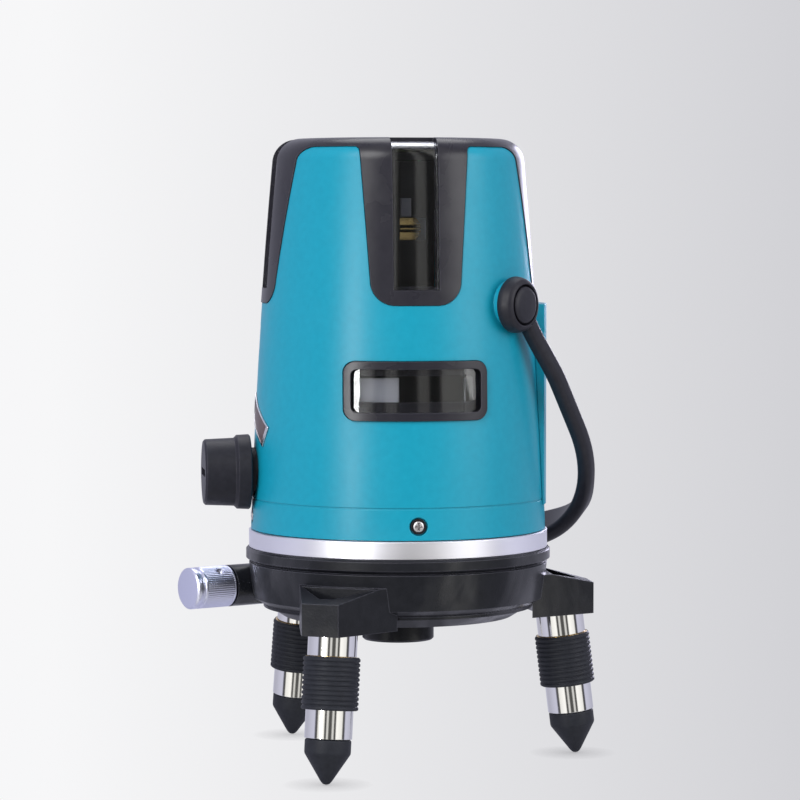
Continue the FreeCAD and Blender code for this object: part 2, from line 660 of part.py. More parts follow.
def body_shell():
    wall = skin(0, SHELL_WALL).cut(tongues(SEAM))
    bosses = [b.cut(body_solid(SHELL_WALL + 5)) for b in pivot_rods(8.0, 38, HUB_START - TURN_GAP)]
    crease = skin(-1, 0.25).common(box(-60, 60, -60, 60, CREASE_Z, CREASE_Z + 0.6))
    shell = wall.multiFuse(bosses)
    bezel_seat = rounded_rectangle(BEZEL_WIDTH + 2 * SEAM, BEZEL_HEIGHT + 2 * SEAM, BEZEL_CORNER, BEZEL_Z)
    holes = [
        plate_at_front(bezel_seat),
        rod(LOCK_NECK_RADIUS + 0.2, V(-40, 0, LOCK_Z), V(-1, 0, 0), 20),
        box(40, 60, -COVER_HALF + 2.5, COVER_HALF - 2.5, COVER_BOTTOM + 3, COVER_TOP - 3),
        rod(4.2, V(0, 40, SOCKET_Z), V(0, 1, 0), 20),
        crease,
        badge_prism(0.1).cut(body_solid(0.4)),
    ]
    holes += shell_screw_rods(3.1, BODY_FOOT_RADIUS - 1.6, 60)
    holes += shell_screw_rods(1.4, 40, 60)
    holes += pivot_rods(1.9, 30, 60)
    return shell.cut(Part.makeCompound(holes)).removeSplitter()


def top_cap():
    foot = BODY_TOP - CHANNEL_FOOT
    channel_box = box(-CHANNEL_HALF, CHANNEL_HALF, -60, -CHANNEL_INNER, foot, BODY_TOP + 5)
    half = CHANNEL_HALF - LEDGE
    slot = box(-half, half, -60, -CHANNEL_INNER - LEDGE, foot + LEDGE, BODY_TOP + 5)
    cap = skin(-CAP_PROUD, CAP_WALL).common(tongues(0))
    channel = skin(-2, GLASS_DEPTH + GLASS).common(Part.makeCompound(all_around(channel_box)))
    openings = [channel] + all_around(slot)
    openings += [cylinder(BUTTON_RADIUS + 0.2, 160, 190, x, 0) for x in BUTTONS_X]
    openings += [cylinder(VIAL_RADIUS, 160, 190)]
    return cap.cut(openings[0]).cut(Part.makeCompound(openings[1:])).removeSplitter()


def upper_window():
    """One curved pane that runs from the tongue over the top edge."""
    half = CHANNEL_HALF - SEAM
    block = box(-half, half, -60, -CHANNEL_INNER - SEAM, BODY_TOP - CHANNEL_FOOT + SEAM, BODY_TOP + 5)
    return skin(GLASS_DEPTH, GLASS_DEPTH + GLASS).common(block)


def lower_window_bezel():
    frame = skin(-BEZEL_PROUD, 3.0).common(
        plate_at_front(rounded_rectangle(BEZEL_WIDTH, BEZEL_HEIGHT, BEZEL_CORNER, BEZEL_Z)))
    recess = skin(-2, 2.0).common(
        plate_at_front(rounded_rectangle(PANE_WIDTH, PANE_HEIGHT, BEZEL_CORNER - 1.8, BEZEL_Z)))
    aperture = plate_at_front(rounded_rectangle(APERTURE_WIDTH, APERTURE_HEIGHT, 0.8, BEZEL_Z + 0.6))
    return frame.cut(recess).cut(aperture)


def lower_window_glass():
    return skin(0.8, 2.0).common(
        plate_at_front(rounded_rectangle(PANE_WIDTH - 0.2, PANE_HEIGHT - 0.2, BEZEL_CORNER - 1.8, BEZEL_Z)))


def badge_prism(grow):
    """A slanted diamond on the left of the shell, above the lock knob."""
    corners = [(12.0, -2.1), (7.6, -8.9), (-12.0, 2.1), (-7.6, 8.9)]
    stretch = 1 + grow / 7
    points = [V(x * stretch, 0, BADGE_Z + z * stretch) for x, z in corners]
    return to_azimuth(plate_at_front(Part.makePolygon(points + points[:1])), BADGE_AZIMUTH)


def badge_plate():
    return skin(-0.25, 0.4).common(badge_prism(0))


# ---------------------------------------------------------------- turning head: inside
def battery_tray():
    wall = TRAY_X + TRAY_WALL
    inner = TRAY_HALF - 3
    back = box(TRAY_X, wall, -TRAY_HALF, TRAY_HALF, TURNTABLE_TOP, COVER_TOP)
    floor = box(wall, wall + 18, -inner, inner, COVER_BOTTOM + 0.5, COVER_BOTTOM + 2.5)
    roof = box(wall, wall + 15.5, -inner, inner, COVER_TOP - 2, COVER_TOP)
    return back.multiFuse([floor, roof]).removeSplitter()


def battery_cells():
    low = COVER_BOTTOM + 2.7
    cells = []
    for y in (-CELL_Y, CELL_Y):
        can = cylinder(CELL_RADIUS, low, low + CELL_LENGTH - 1.2, CELL_X, y)
        nub = cylinder(2.8, low + CELL_LENGTH - 1.2, COVER_TOP - 2.1, CELL_X, y)
        cells.append(can.fuse(nub))
    return Part.makeCompound(cells)


def battery_cover():
    half = COVER_HALF
    block = box(30, 60, -half, half, COVER_BOTTOM, COVER_TOP)
    face = cylinder(COVER_FACE, COVER_BOTTOM, COVER_TOP).common(block).cut(body_solid(-0.1))
    inner = half - 2.5 - TURN_GAP
    low, high = COVER_BOTTOM + 3 + TURN_GAP, COVER_TOP - 3 - TURN_GAP
    plug = skin(-0.2, 1.6).common(box(40, 60, -inner, inner, low, high))
    cover = face.fuse(plug).removeSplitter()
    notch = box(COVER_FACE - 0.6, 60, -5, 5, COVER_TOP - 5, COVER_TOP - 3.2)
    return cover.cut(notch)


def driver_board():
    """The upright board behind the pendulum, with its coil."""
    board = box(-20, 20, BOARD_Y, BOARD_Y + BOARD_THICK, TURNTABLE_TOP, COVER_TOP)
    return board.fuse(box(-6, 6, BOARD_Y - 2.5, BOARD_Y, BEZEL_Z - 6, BEZEL_Z + 6))


def dc_socket():
    block = box(-4.5, 4.5, BOARD_Y + BOARD_THICK, 45.5, SOCKET_Z - 5.5, SOCKET_Z + 5.5)
    nose = rod(4.0, V(0, 45.5, SOCKET_Z), V(0, 1, 0), BODY_FOOT_RADIUS - 45.5 - 1.5)
    bore = rod(2.8, V(0, 38, SOCKET_Z), V(0, 1, 0), 20)
    pin = rod(1.0, V(0, 37.5, SOCKET_Z), V(0, 1, 0), 10)
    return block.fuse(nose).cut(bore).fuse(pin).removeSplitter()


def keypad_board():
    low = BODY_TOP - KEYPAD_DEPTH
    disc = cylinder(POST_RING + 1.5, low, low + BOARD_THICK)
    clear = all_around(box(-10, 10, -40, -26, low - 1, low + 3))
    posts = all_around(cylinder(POST_RADIUS, low - 1, low + 3, 0, -POST_RING), POST_AZIMUTHS)
    switches = [box(x - 3, x + 3, -3, 3, low + BOARD_THICK, low + 3.2) for x in BUTTONS_X]
    return disc.cut(Part.makeCompound(clear + posts)).multiFuse(switches)


def top_button(x):
    switch_top = BODY_TOP - KEYPAD_DEPTH + 3.2
    stem = cylinder(2.0, switch_top + BUTTON_TRAVEL + 0.1, BODY_TOP - 5, x, 0)
    flange = cylinder(BUTTON_RADIUS + 1.0, BODY_TOP - 5, BODY_TOP - CAP_WALL - 0.1, x, 0)
    head = cylinder(BUTTON_RADIUS, BODY_TOP - CAP_WALL - 0.1, BODY_TOP + BUTTON_PROUD, x, 0)
    edge = [e for e in head.Edges if e.BoundBox.ZMin > BODY_TOP + BUTTON_PROUD - 0.1][:1]
    return head.makeFillet(0.6, edge).multiFuse([stem, flange]).removeSplitter()


def bubble_vial():
    low = BODY_TOP - 8.9
    return turned([
        (0, low), (VIAL_RADIUS, low), (VIAL_RADIUS, BODY_TOP), (VIAL_RADIUS - 0.6, BODY_TOP + 0.4),
        (0, BODY_TOP + 0.7),
    ])


def damper_magnets():
    return Part.makeCompound(all_around(cylinder(2.2, MAGNET_Z, MAGNET_Z + 5, 0, -15.7), POST_AZIMUTHS))


def handle_pivot_screws():
    """Shoulder screws that carry the handle's eyes."""
    shank = rod(1.9, V(0, -41, HANDLE_Z), V(0, -1, 0), HUB_START - TURN_GAP - 41)
    shoulder = rod(PIVOT_RADIUS, V(0, -HUB_START + TURN_GAP, HANDLE_Z), V(0, -1, 0), 3.6)
    head = rod(4.4, V(0, -HUB_START + TURN_GAP - 3.6, HANDLE_Z), V(0, -1, 0), 1.2)
    screw = shank.multiFuse([shoulder, head]).removeSplitter()
    return Part.makeCompound(all_around(screw, (HANDLE_AZIMUTH, HANDLE_AZIMUTH + 180)))


# ---------------------------------------------------------------- handle
def handle_place(shape):
    """From the handle's own plane (X across, Z down its length) to its rest place."""
    shape.rotate(V(0, 0, 0), V(1, 0, 0), HANDLE_LEAN)
    shape.rotate(V(0, 0, 0), UP, HANDLE_AZIMUTH - 90)
    shape.translate(V(0, 0, HANDLE_Z))
    return shape


def handle_bail():
    """A flat U with straight arms, round eyes and a broad grip."""
    def u_shape(radius):
        low = V(radius, 0, 0), V(radius, 0, -HANDLE_STRAIGHT)
        edges = [
            Part.makeLine(low[0], low[1]),
            Part.Arc(low[1], V(0, 0, -HANDLE_STRAIGHT - radius), V(-radius, 0, -HANDLE_STRAIGHT)).toShape(),
            Part.makeLine(V(-radius, 0, -HANDLE_STRAIGHT), V(-radius, 0, 0)),
            Part.makeLine(V(-radius, 0, 0), V(radius, 0, 0)),
        ]
        face = Part.Face(Part.Wire(edges))
        face.translate(V(0, -20, 0))
        return face.extrude(V(0, 40, 0))

    outer = HANDLE_ARM + HANDLE_THICK / 2
    strap = u_shape(outer).cut(u_shape(outer - HANDLE_THICK))
    widen = HANDLE_STRAIGHT + 12
    full = HANDLE_STRAIGHT + 40
    side = [
        V(-70, -HANDLE_INNER_FACE, 0), V(-70, -HANDLE_INNER_FACE, -130), V(-70, HANDLE_GRIP_FACE, -130),
        V(-70, HANDLE_GRIP_FACE, -full), V(-70, HANDLE_ARM_FACE, -widen), V(-70, HANDLE_ARM_FACE, 0),
    ]
    strap = strap.common(Part.Face(Part.makePolygon(side + side[:1])).extrude(V(140, 0, 0)))
    eyes = []
    cuts = []
    for s in (1, -1):
        eyes.append(rod(HUB_EYE_RADIUS, V(s * HUB_START, 0, 0), V(s, 0, 0), HUB_END - HUB_START))
        cuts.append(rod(PIVOT_RADIUS + RUNNING, V(s * 40, 0, 0), V(s, 0, 0), 20))
        cuts.append(rod(6.8, V(s * (HUB_START + 3.3), 0, 0), V(s, 0, 0), 10))
    trim = u_shape(HUB_START)
    bail = strap.multiFuse(eyes).cut(Part.makeCompound(cuts)).cut(trim)
    return handle_place(bail.removeSplitter())


def handle_hub_caps():
    """Domed caps that hide the pivot screws; they turn with the handle."""
    start = HUB_START + 3.3 + 1.4
    caps = []
    for s in (1, -1):
        disc = rod(6.7, V(s * start, 0, 0), V(s, 0, 0), HUB_END + 0.4 - start)
        rim = [e for e in disc.Edges if abs(e.BoundBox.XMin - s * (HUB_END + 0.4)) < 0.01
               and abs(e.BoundBox.XMax - s * (HUB_END + 0.4)) < 0.01]
        caps.append(disc.makeFillet(0.8, rim[:1]))
    return handle_place(Part.makeCompound(caps))


# ---------------------------------------------------------------- lock
def lock_knob():
    profile = [
        (0, LOCK_BACK - 5.0), (LOCK_NECK_RADIUS, LOCK_BACK - 5.0), (LOCK_NECK_RADIUS, LOCK_BACK),
        (LOCK_FLANGE_RADIUS - 0.4, LOCK_BACK), (LOCK_FLANGE_RADIUS, LOCK_BACK + 0.4),
        (LOCK_FLANGE_RADIUS - 0.2, LOCK_STEP - 1), (LOCK_KNOB_RADIUS + 0.2, LOCK_STEP),
        (LOCK_KNOB_RADIUS - 0.2, LOCK_END - 0.6), (LOCK_KNOB_RADIUS - 0.8, LOCK_END), (0, LOCK_END),
    ]
    knob = turned(profile)
    slot = box(-1.3, 1.3, -8, 8, LOCK_END - 1.2, LOCK_END + 1)
    bore = cylinder(LOCK_SHAFT_RADIUS, 0, LOCK_END - 6)
    knob = knob.cut(slot).cut(bore)
    knob.Placement = FreeCAD.Placement(V(0, 0, LOCK_Z), FreeCAD.Rotation(UP, V(-1, 0, 0)))
    return knob


def lock_cam_shaft():
    """The lock's shaft with its crank pin, a quarter turn of throw."""
    shaft = rod(LOCK_SHAFT_RADIUS, V(-14, 0, LOCK_Z), V(-1, 0, 0), LOCK_END - 6 - 14)
    offset = LOCK_CRANK * math.sqrt(0.5)
    pin = rod(LOCK_PIN_RADIUS, V(-9.6, -offset, LOCK_Z - offset), V(-1, 0, 0), 5)
    return shaft.fuse(pin).removeSplitter()


def lock_plunger():
    """The ring that rises under the pendulum, lifted by the crank pin."""
    ring = tube(12.8, 8.0, MAGNET_Z - 1.5, MAGNET_Z + 1.5)
    offset = LOCK_CRANK * math.sqrt(0.5)
    centre = LOCK_Z - offset
    arm = box(-12.1, -10, -5, 3, centre - 3, MAGNET_Z)
    gap = LOCK_PIN_RADIUS + 0.2
    slot = box(-13, -9, -LOCK_CRANK - gap - 0.5, 1.2, centre - gap, centre + gap)
    return ring.fuse(arm).cut(slot).removeSplitter()


# ---------------------------------------------------------------- pendulum
def gimbal_ring():
    half = GIMBAL_HEIGHT / 2
    ring = tube(GIMBAL_OUTER, GIMBAL_INNER, PIVOT_Z - half, PIVOT_Z + half)
    pins = [rod(1.5, V(s * (GIMBAL_INNER + 2), 0, PIVOT_Z), V(s, 0, 0), 9.0) for s in (1, -1)]
    bores = [rod(1.5 + RUNNING, V(0, s * (GIMBAL_INNER - 1), PIVOT_Z), V(0, s, 0), 4.0) for s in (1, -1)]
    return ring.multiFuse(pins).cut(Part.makeCompound(bores)).removeSplitter()


def pendulum_body():
    column = cylinder(5, LOWER_BEAM_Z, PIVOT_Z + 2.5)
    head = cylinder(12, UPPER_BEAM_Z - 6.5, UPPER_BEAM_Z + 6.5)
    foot = cylinder(12, DAMPER_Z + 2.5, LOWER_BEAM_Z + 7)
    pins = rod(1.5, V(0, -GIMBAL_INNER - 2.5, PIVOT_Z), V(0, 1, 0), 2 * GIMBAL_INNER + 5)
    body = column.multiFuse([head, foot, pins])
    holes = vertical_module_rods() + [horizontal_rod(), plumb_rod()]
    return body.cut(Part.makeCompound(holes)).removeSplitter()


def vertical_module_rods():
    return all_around(rod(MODULE_RADIUS, V(0, -6.6, UPPER_BEAM_Z), V(0, -1, 0), 18))


def horizontal_rod():
    return rod(MODULE_RADIUS, V(0, -3.5, LOWER_BEAM_Z), V(0, -1, 0), 26)


def plumb_rod():
    return cylinder(MODULE_RADIUS, DAMPER_Z - 1.5, LOWER_BEAM_Z - MODULE_RADIUS - 0.8)


def vertical_laser_modules():
    """Four barrels with a cylinder lens across each mouth."""
    barrels = []
    lenses = all_around(rod(1.2, V(-3, -24.6, UPPER_BEAM_Z), V(1, 0, 0), 6))
    for barrel, lens in zip(vertical_module_rods(), lenses):
        barrels.append(barrel.fuse(lens))
    return Part.makeCompound(barrels)


def horizontal_laser_module():
    lens = rod(1.2, V(0, -29.5, LOWER_BEAM_Z - 3), UP, 6)
    return horizontal_rod().fuse(lens)


def plumb_laser_module():
    return plumb_rod().cut(cylinder(1.2, DAMPER_Z - 2, DAMPER_Z))


def damper_plate():
    return tube(DAMPER_RADIUS, MODULE_RADIUS, DAMPER_Z, DAMPER_Z + 2.5)


# ---------------------------------------------------------------- write every piece
save(base_housing(), "base_housing")
save(tripod_thread_insert(), "tripod_thread_insert")
save(scale_ring(), "scale_ring")
save(spindle_bush(), "spindle_bush")
save(worm_bushes(), "worm_bushes")
save(Part.makeCompound(all_around(leg_guide_pin(), LEG_AZIMUTHS)), "leg_guide_pins")
LEG_PIECES = {
    "upper_tube": leg_upper_tube(),
    "nut": leg_nut(),
    "grip": leg_grip(),
    "screw_tube": leg_screw_tube(),
    "foot": leg_foot(),
}
for number, azimuth in enumerate(LEG_AZIMUTHS, start=1):
    for name, piece in LEG_PIECES.items():
        save(to_azimuth(piece, azimuth), f"leg_{number}_{name}")
save(drive_gear(), "drive_gear")
save(clutch_washer(), "clutch_washer")
save(worm_shaft(), "worm_shaft")
save(fine_adjust_knob(), "fine_adjust_knob")
save(knob_set_screw(), "knob_set_screw")
save(turntable(), "turntable")
save(spindle_clip(), "spindle_clip")
save(chassis_frame(), "chassis_frame")
save(body_shell(), "body_shell")
save(top_cap(), "top_cap")
for name, azimuth in (("front", 0), ("right", 90), ("rear", 180), ("left", 270)):
    save(to_azimuth(upper_window(), azimuth), f"{name}_window")
save(lower_window_bezel(), "lower_window_bezel")
save(lower_window_glass(), "lower_window_glass")
save(shell_screws(), "shell_screws")
save(badge_plate(), "badge_plate")
save(battery_tray(), "battery_tray")
save(battery_cells(), "battery_cells")
save(battery_cover(), "battery_cover")
save(Part.makeCompound([driver_board(), keypad_board()]), "circuit_boards")
save(dc_socket(), "dc_socket")
save(top_button(BUTTONS_X[0]), "power_button")
save(top_button(BUTTONS_X[1]), "mode_button")
save(bubble_vial(), "bubble_vial")
save(damper_magnets(), "damper_magnets")
save(handle_pivot_screws(), "handle_pivot_screws")
save(handle_bail(), "handle_bail")
save(handle_hub_caps(), "handle_hub_caps")
save(lock_knob(), "lock_knob")
save(lock_cam_shaft(), "lock_cam_shaft")
save(lock_plunger(), "lock_plunger")
save(gimbal_ring(), "gimbal_ring")
save(pendulum_body(), "pendulum_body")
save(vertical_laser_modules(), "vertical_laser_modules")
save(horizontal_laser_module(), "horizontal_laser_module")
save(plumb_laser_module(), "plumb_laser_module")
save(damper_plate(), "damper_plate")
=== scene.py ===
# %% [markdown]
# # A cross-line laser level on three screw legs
# The engineering model gives every part its place and size. This file gives each part its finish, and remakes the
# parts whose fine shape matters to the eye: the ribbed sleeves, the pointed feet, the knurled knob, the carry handle.
# Everything is in metres, with the tripod thread's mouth at the origin and +Z up.

# %% Load the frame
import json
import math

import bmesh
import bpy
from mathutils import Matrix, Vector


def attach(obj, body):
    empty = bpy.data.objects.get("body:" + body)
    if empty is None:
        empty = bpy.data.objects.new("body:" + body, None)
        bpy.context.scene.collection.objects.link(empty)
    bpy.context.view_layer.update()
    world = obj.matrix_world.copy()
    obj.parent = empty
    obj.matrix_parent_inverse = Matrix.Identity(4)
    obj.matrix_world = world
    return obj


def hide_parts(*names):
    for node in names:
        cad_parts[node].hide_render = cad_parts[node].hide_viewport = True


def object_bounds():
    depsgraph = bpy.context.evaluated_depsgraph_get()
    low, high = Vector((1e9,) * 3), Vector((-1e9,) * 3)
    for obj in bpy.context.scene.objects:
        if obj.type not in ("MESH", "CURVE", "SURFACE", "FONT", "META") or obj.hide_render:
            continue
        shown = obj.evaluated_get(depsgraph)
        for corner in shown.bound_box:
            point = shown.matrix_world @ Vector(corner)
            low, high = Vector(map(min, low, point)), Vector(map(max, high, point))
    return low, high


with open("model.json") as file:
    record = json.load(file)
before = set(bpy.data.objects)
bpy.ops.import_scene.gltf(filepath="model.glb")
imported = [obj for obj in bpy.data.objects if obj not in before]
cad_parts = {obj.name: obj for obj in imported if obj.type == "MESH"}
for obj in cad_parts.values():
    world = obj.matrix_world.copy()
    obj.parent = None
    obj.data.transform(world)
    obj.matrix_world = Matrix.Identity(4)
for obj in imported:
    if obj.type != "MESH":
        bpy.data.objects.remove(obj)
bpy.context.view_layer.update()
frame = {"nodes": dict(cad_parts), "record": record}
MM = 0.001

# %% [markdown]
# ## Camera
# A long lens, a little above the base and slightly to the left of straight ahead. A long lens keeps the sides of
# the tapering body nearly parallel, as they look from across a workshop.

# %% Camera
CAMERA_PLACE = (-0.15571, -1.14232, 0.14895)
CAMERA_TURN = (math.radians(86.754), 0.0, math.radians(-7.762))
camera_data = bpy.data.cameras.new("camera")
camera_data.sensor_width = 36.0
camera_data.lens = 149.08
camera_data.shift_x = 0.0025
camera_data.clip_start = 0.05
camera = bpy.data.objects.new("camera", camera_data)
camera.location = CAMERA_PLACE
camera.rotation_euler = CAMERA_TURN
bpy.context.scene.collection.objects.link(camera)
bpy.context.scene.camera = camera
bpy.context.scene.view_settings.view_transform = "Standard"
print("camera at", CAMERA_PLACE)

# %% [markdown]
# ## Floor
# A real floor would show its far edge, so this one is a clear sheet. It darkens only where something stands very
# close above it, which leaves a soft contact shadow under each foot and nothing else.

# %% Floor
FLOOR_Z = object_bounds()[0][2]
CONTACT_REACH = 0.012
CONTACT_DARK = 0.55


def link(tree, source, target):
    tree.links.new(source, target)


def floor_material():
    material = bpy.data.materials.new("contact shadow")
    material.use_nodes = True
    tree = material.node_tree
    dark = tree.nodes["Principled BSDF"]
    dark.inputs["Base Color"].default_value = (0.05, 0.05, 0.06, 1.0)
    dark.inputs["Roughness"].default_value = 1.0
    dark.inputs["Specular IOR Level"].default_value = 0.0
    near = tree.nodes.new("ShaderNodeAmbientOcclusion")
    near.inputs["Distance"].default_value = CONTACT_REACH
    cover = tree.nodes.new("ShaderNodeMapRange")
    cover.inputs["From Min"].default_value = 1.0
    cover.inputs["From Max"].default_value = 0.0
    cover.inputs["To Max"].default_value = CONTACT_DARK
    clear = tree.nodes.new("ShaderNodeBsdfTransparent")
    mix = tree.nodes.new("ShaderNodeMixShader")
    link(tree, near.outputs["AO"], cover.inputs["Value"])
    link(tree, cover.outputs["Result"], mix.inputs["Fac"])
    link(tree, clear.outputs["BSDF"], mix.inputs[1])
    link(tree, dark.outputs["BSDF"], mix.inputs[2])
    link(tree, mix.outputs["Shader"], tree.nodes["Material Output"].inputs["Surface"])
    return material


floor_mesh = bpy.data.meshes.new("floor")
rim = [(0.2 * math.cos(math.tau * n / 64), 0.2 * math.sin(math.tau * n / 64), 0) for n in range(64)]
floor_mesh.from_pydata(rim, [], [tuple(range(64))])
floor = bpy.data.objects.new("floor", floor_mesh)
floor.location.z = FLOOR_Z - 0.0002
floor_mesh.materials.append(floor_material())
bpy.context.scene.collection.objects.link(floor)
print("floor at", round(FLOOR_Z, 5))

# %% [markdown]
# ## Light
# Bright metal shows only what is round it, so the room matters more than the lamps. The surround seen by the camera
# is plain and pale. The surround seen in reflections is a studio: white boxes with dark gaps between them, which
# draw the upright bands on the legs and the ring. Soft lamps then shape the plastic, and a cool one behind lights its
# right edge.

# %% The studio that reflections see
STUDIO_BANDS = [
    (0.000, 0.10), (0.018, 0.14), (0.030, 0.95), (0.045, 0.85), (0.056, 0.08), (0.072, 0.10), (0.085, 1.35),
    (0.165, 1.15), (0.180, 0.10), (0.205, 0.12), (0.220, 0.80), (0.400, 0.62), (0.500, 0.74),
]


WARM, COOL, WARM_UNTIL = (1.0, 0.985, 0.94), (0.93, 0.93, 1.12), 0.2
BACKDROP = [(0.03, (0.93, 0.93, 0.94)), (0.27, (0.62, 0.62, 0.65))]


def studio_world():
    world = bpy.data.worlds.new("studio")
    world.use_nodes = True
    tree = world.node_tree
    plain = tree.nodes["Background"]
    fade = tree.nodes.new("ShaderNodeValToRGB")
    for stop, (where, colour) in zip(fade.color_ramp.elements, BACKDROP):
        stop.position = where
        stop.color = (*colour, 1.0)
    room = tree.nodes.new("ShaderNodeBackground")
    room.inputs["Strength"].default_value = 0.82
    place = tree.nodes.new("ShaderNodeTexCoord")
    split = tree.nodes.new("ShaderNodeSeparateXYZ")
    turn = tree.nodes.new("ShaderNodeMath")
    turn.operation = "ARCTAN2"
    front = tree.nodes.new("ShaderNodeMath")
    front.operation = "MULTIPLY"
    front.inputs[1].default_value = -1.0
    share = tree.nodes.new("ShaderNodeMath")
    share.operation = "DIVIDE"
    share.inputs[1].default_value = math.tau
    side = tree.nodes.new("ShaderNodeMath")
    side.operation = "ABSOLUTE"
    bands = tree.nodes.new("ShaderNodeValToRGB")
    ramp = bands.color_ramp
    ramp.interpolation = "EASE"
    for n, (where, level) in enumerate(STUDIO_BANDS):
        stop = ramp.elements[n] if n < 2 else ramp.elements.new(where)
        stop.position = where
        tint = WARM if where < WARM_UNTIL else COOL
        stop.color = (*(level * part for part in tint), 1.0)
    ray = tree.nodes.new("ShaderNodeLightPath")
    mix = tree.nodes.new("ShaderNodeMixShader")
    link(tree, place.outputs["Generated"], split.inputs[0])
    link(tree, split.outputs["X"], fade.inputs["Fac"])
    link(tree, fade.outputs["Color"], plain.inputs["Color"])
    link(tree, split.outputs["Y"], front.inputs[0])
    link(tree, split.outputs["X"], turn.inputs[0])
    link(tree, front.outputs[0], turn.inputs[1])
    link(tree, turn.outputs[0], share.inputs[0])
    link(tree, share.outputs[0], side.inputs[0])
    link(tree, side.outputs[0], bands.inputs["Fac"])
    link(tree, bands.outputs["Color"], room.inputs["Color"])
    link(tree, ray.outputs["Is Camera Ray"], mix.inputs["Fac"])
    link(tree, room.outputs["Background"], mix.inputs[1])
    link(tree, plain.outputs["Background"], mix.inputs[2])
    link(tree, mix.outputs["Shader"], tree.nodes["World Output"].inputs["Surface"])
    return world


bpy.context.scene.world = studio_world()
print("studio bands:", len(STUDIO_BANDS))

# %% Lamps


def soft_lamp(name, place, size, power, target=(0.0, 0.0, 0.07)):
    data = bpy.data.lights.new(name, "AREA")
    data.shape = "DISK"
    data.size = size
    data.energy = power
    lamp = bpy.data.objects.new(name, data)
    lamp.location = place
    lamp.rotation_euler = (Vector(target) - Vector(place)).to_track_quat("-Z", "Y").to_euler()
    bpy.context.scene.collection.objects.link(lamp)
    return lamp


soft_lamp("key lamp", (-0.7, -0.9, 0.9), 0.7, 9.0)
soft_lamp("fill lamp", (0.9, -0.6, 0.5), 0.8, 5.0)
soft_lamp("top lamp", (0.1, 0.5, 1.1), 0.8, 4.0)
soft_lamp("low lamp", (-0.83, -0.86, 0.16), 0.22, 3.0)
rim_lamp = soft_lamp("rim lamp", (0.62, 1.05, 0.30), 0.4, 3.5)
rim_lamp.data.color = (0.80, 0.78, 1.0)
print("five soft lamps")

# %% [markdown]
# ## Effects that several finishes share
# Moulded grain, worn edges, drawn lines and handling marks turn up on many parts. Each is a node group, built once
# and placed in a material with its own values. A group gives out masks and heights only, so the shader itself stays
# in the material, where it can be read part by part.

# %% Group builder


def new_group(name, inputs, outputs):
    group = bpy.data.node_groups.new(name, "ShaderNodeTree")
    for label, kind, value in inputs:
        socket = group.interface.new_socket(label, in_out="INPUT", socket_type=kind)
        socket.default_value = value
    for label, kind in outputs:
        group.interface.new_socket(label, in_out="OUTPUT", socket_type=kind)
    return group, group.nodes.new("NodeGroupInput"), group.nodes.new("NodeGroupOutput")


FLOAT, VECTOR = "NodeSocketFloat", "NodeSocketVector"

# %% Moulded grain: the fine skin that a textured mould leaves


def grain_group():
    group, given, result = new_group(
        "Moulded Grain", [("Scale", FLOAT, 2600.0), ("Patch Scale", FLOAT, 60.0)],
        [("Height", FLOAT), ("Patch", FLOAT)])
    place = group.nodes.new("ShaderNodeTexCoord")
    fine = group.nodes.new("ShaderNodeTexNoise")
    fine.inputs["Detail"].default_value = 2.0
    patch = group.nodes.new("ShaderNodeTexNoise")
    patch.inputs["Detail"].default_value = 4.0
    for noise, socket in ((fine, "Scale"), (patch, "Patch Scale")):
        link(group, place.outputs["Object"], noise.inputs["Vector"])
        link(group, given.outputs[socket], noise.inputs["Scale"])
    link(group, fine.outputs["Fac"], result.inputs["Height"])
    link(group, patch.outputs["Fac"], result.inputs["Patch"])
    return group


GRAIN = grain_group()
print("group:", GRAIN.name)

# %% Worn edges: where two surfaces meet, the corner is rounded and rubbed


def edge_group():
    group, given, result = new_group(
        "Worn Edge", [("Radius", FLOAT, 0.0004)], [("Mask", FLOAT), ("Normal", VECTOR)])
    bevel = group.nodes.new("ShaderNodeBevel")
    bevel.samples = 4
    flat = group.nodes.new("ShaderNodeNewGeometry")
    dot = group.nodes.new("ShaderNodeVectorMath")
    dot.operation = "DOT_PRODUCT"
    mask = group.nodes.new("ShaderNodeMapRange")
    mask.inputs["From Min"].default_value = 0.995
    mask.inputs["From Max"].default_value = 0.88
    link(group, given.outputs["Radius"], bevel.inputs["Radius"])
    link(group, bevel.outputs["Normal"], dot.inputs[0])
    link(group, flat.outputs["Normal"], dot.inputs[1])
    link(group, dot.outputs["Value"], mask.inputs["Value"])
    link(group, mask.outputs["Result"], result.inputs["Mask"])
    link(group, bevel.outputs["Normal"], result.inputs["Normal"])
    return group


EDGE = edge_group()
print("group:", EDGE.name)

# %% Drawn lines: the long fine marks of a lathe, a draw bench or a polishing belt


def lines_group():
    group, given, result = new_group(
        "Drawn Lines", [("Stretch", VECTOR, (1.0, 1.0, 1.0)), ("Scale", FLOAT, 100.0)],
        [("Height", FLOAT), ("Tone", FLOAT)])
    place = group.nodes.new("ShaderNodeTexCoord")
    stretch = group.nodes.new("ShaderNodeVectorMath")
    stretch.operation = "MULTIPLY"
    lines = group.nodes.new("ShaderNodeTexNoise")
    lines.inputs["Detail"].default_value = 5.0
    lines.inputs["Roughness"].default_value = 0.7
    tone = group.nodes.new("ShaderNodeTexNoise")
    tone.inputs["Scale"].default_value = 40.0
    link(group, place.outputs["Object"], stretch.inputs[0])
    link(group, given.outputs["Stretch"], stretch.inputs[1])
    link(group, stretch.outputs["Vector"], lines.inputs["Vector"])
    link(group, given.outputs["Scale"], lines.inputs["Scale"])
    link(group, place.outputs["Object"], tone.inputs["Vector"])
    link(group, lines.outputs["Fac"], result.inputs["Height"])
    link(group, tone.outputs["Fac"], result.inputs["Tone"])
    return group


LINES = lines_group()
print("group:", LINES.name)

# %% Handling marks: faint smears and specks that change the gloss


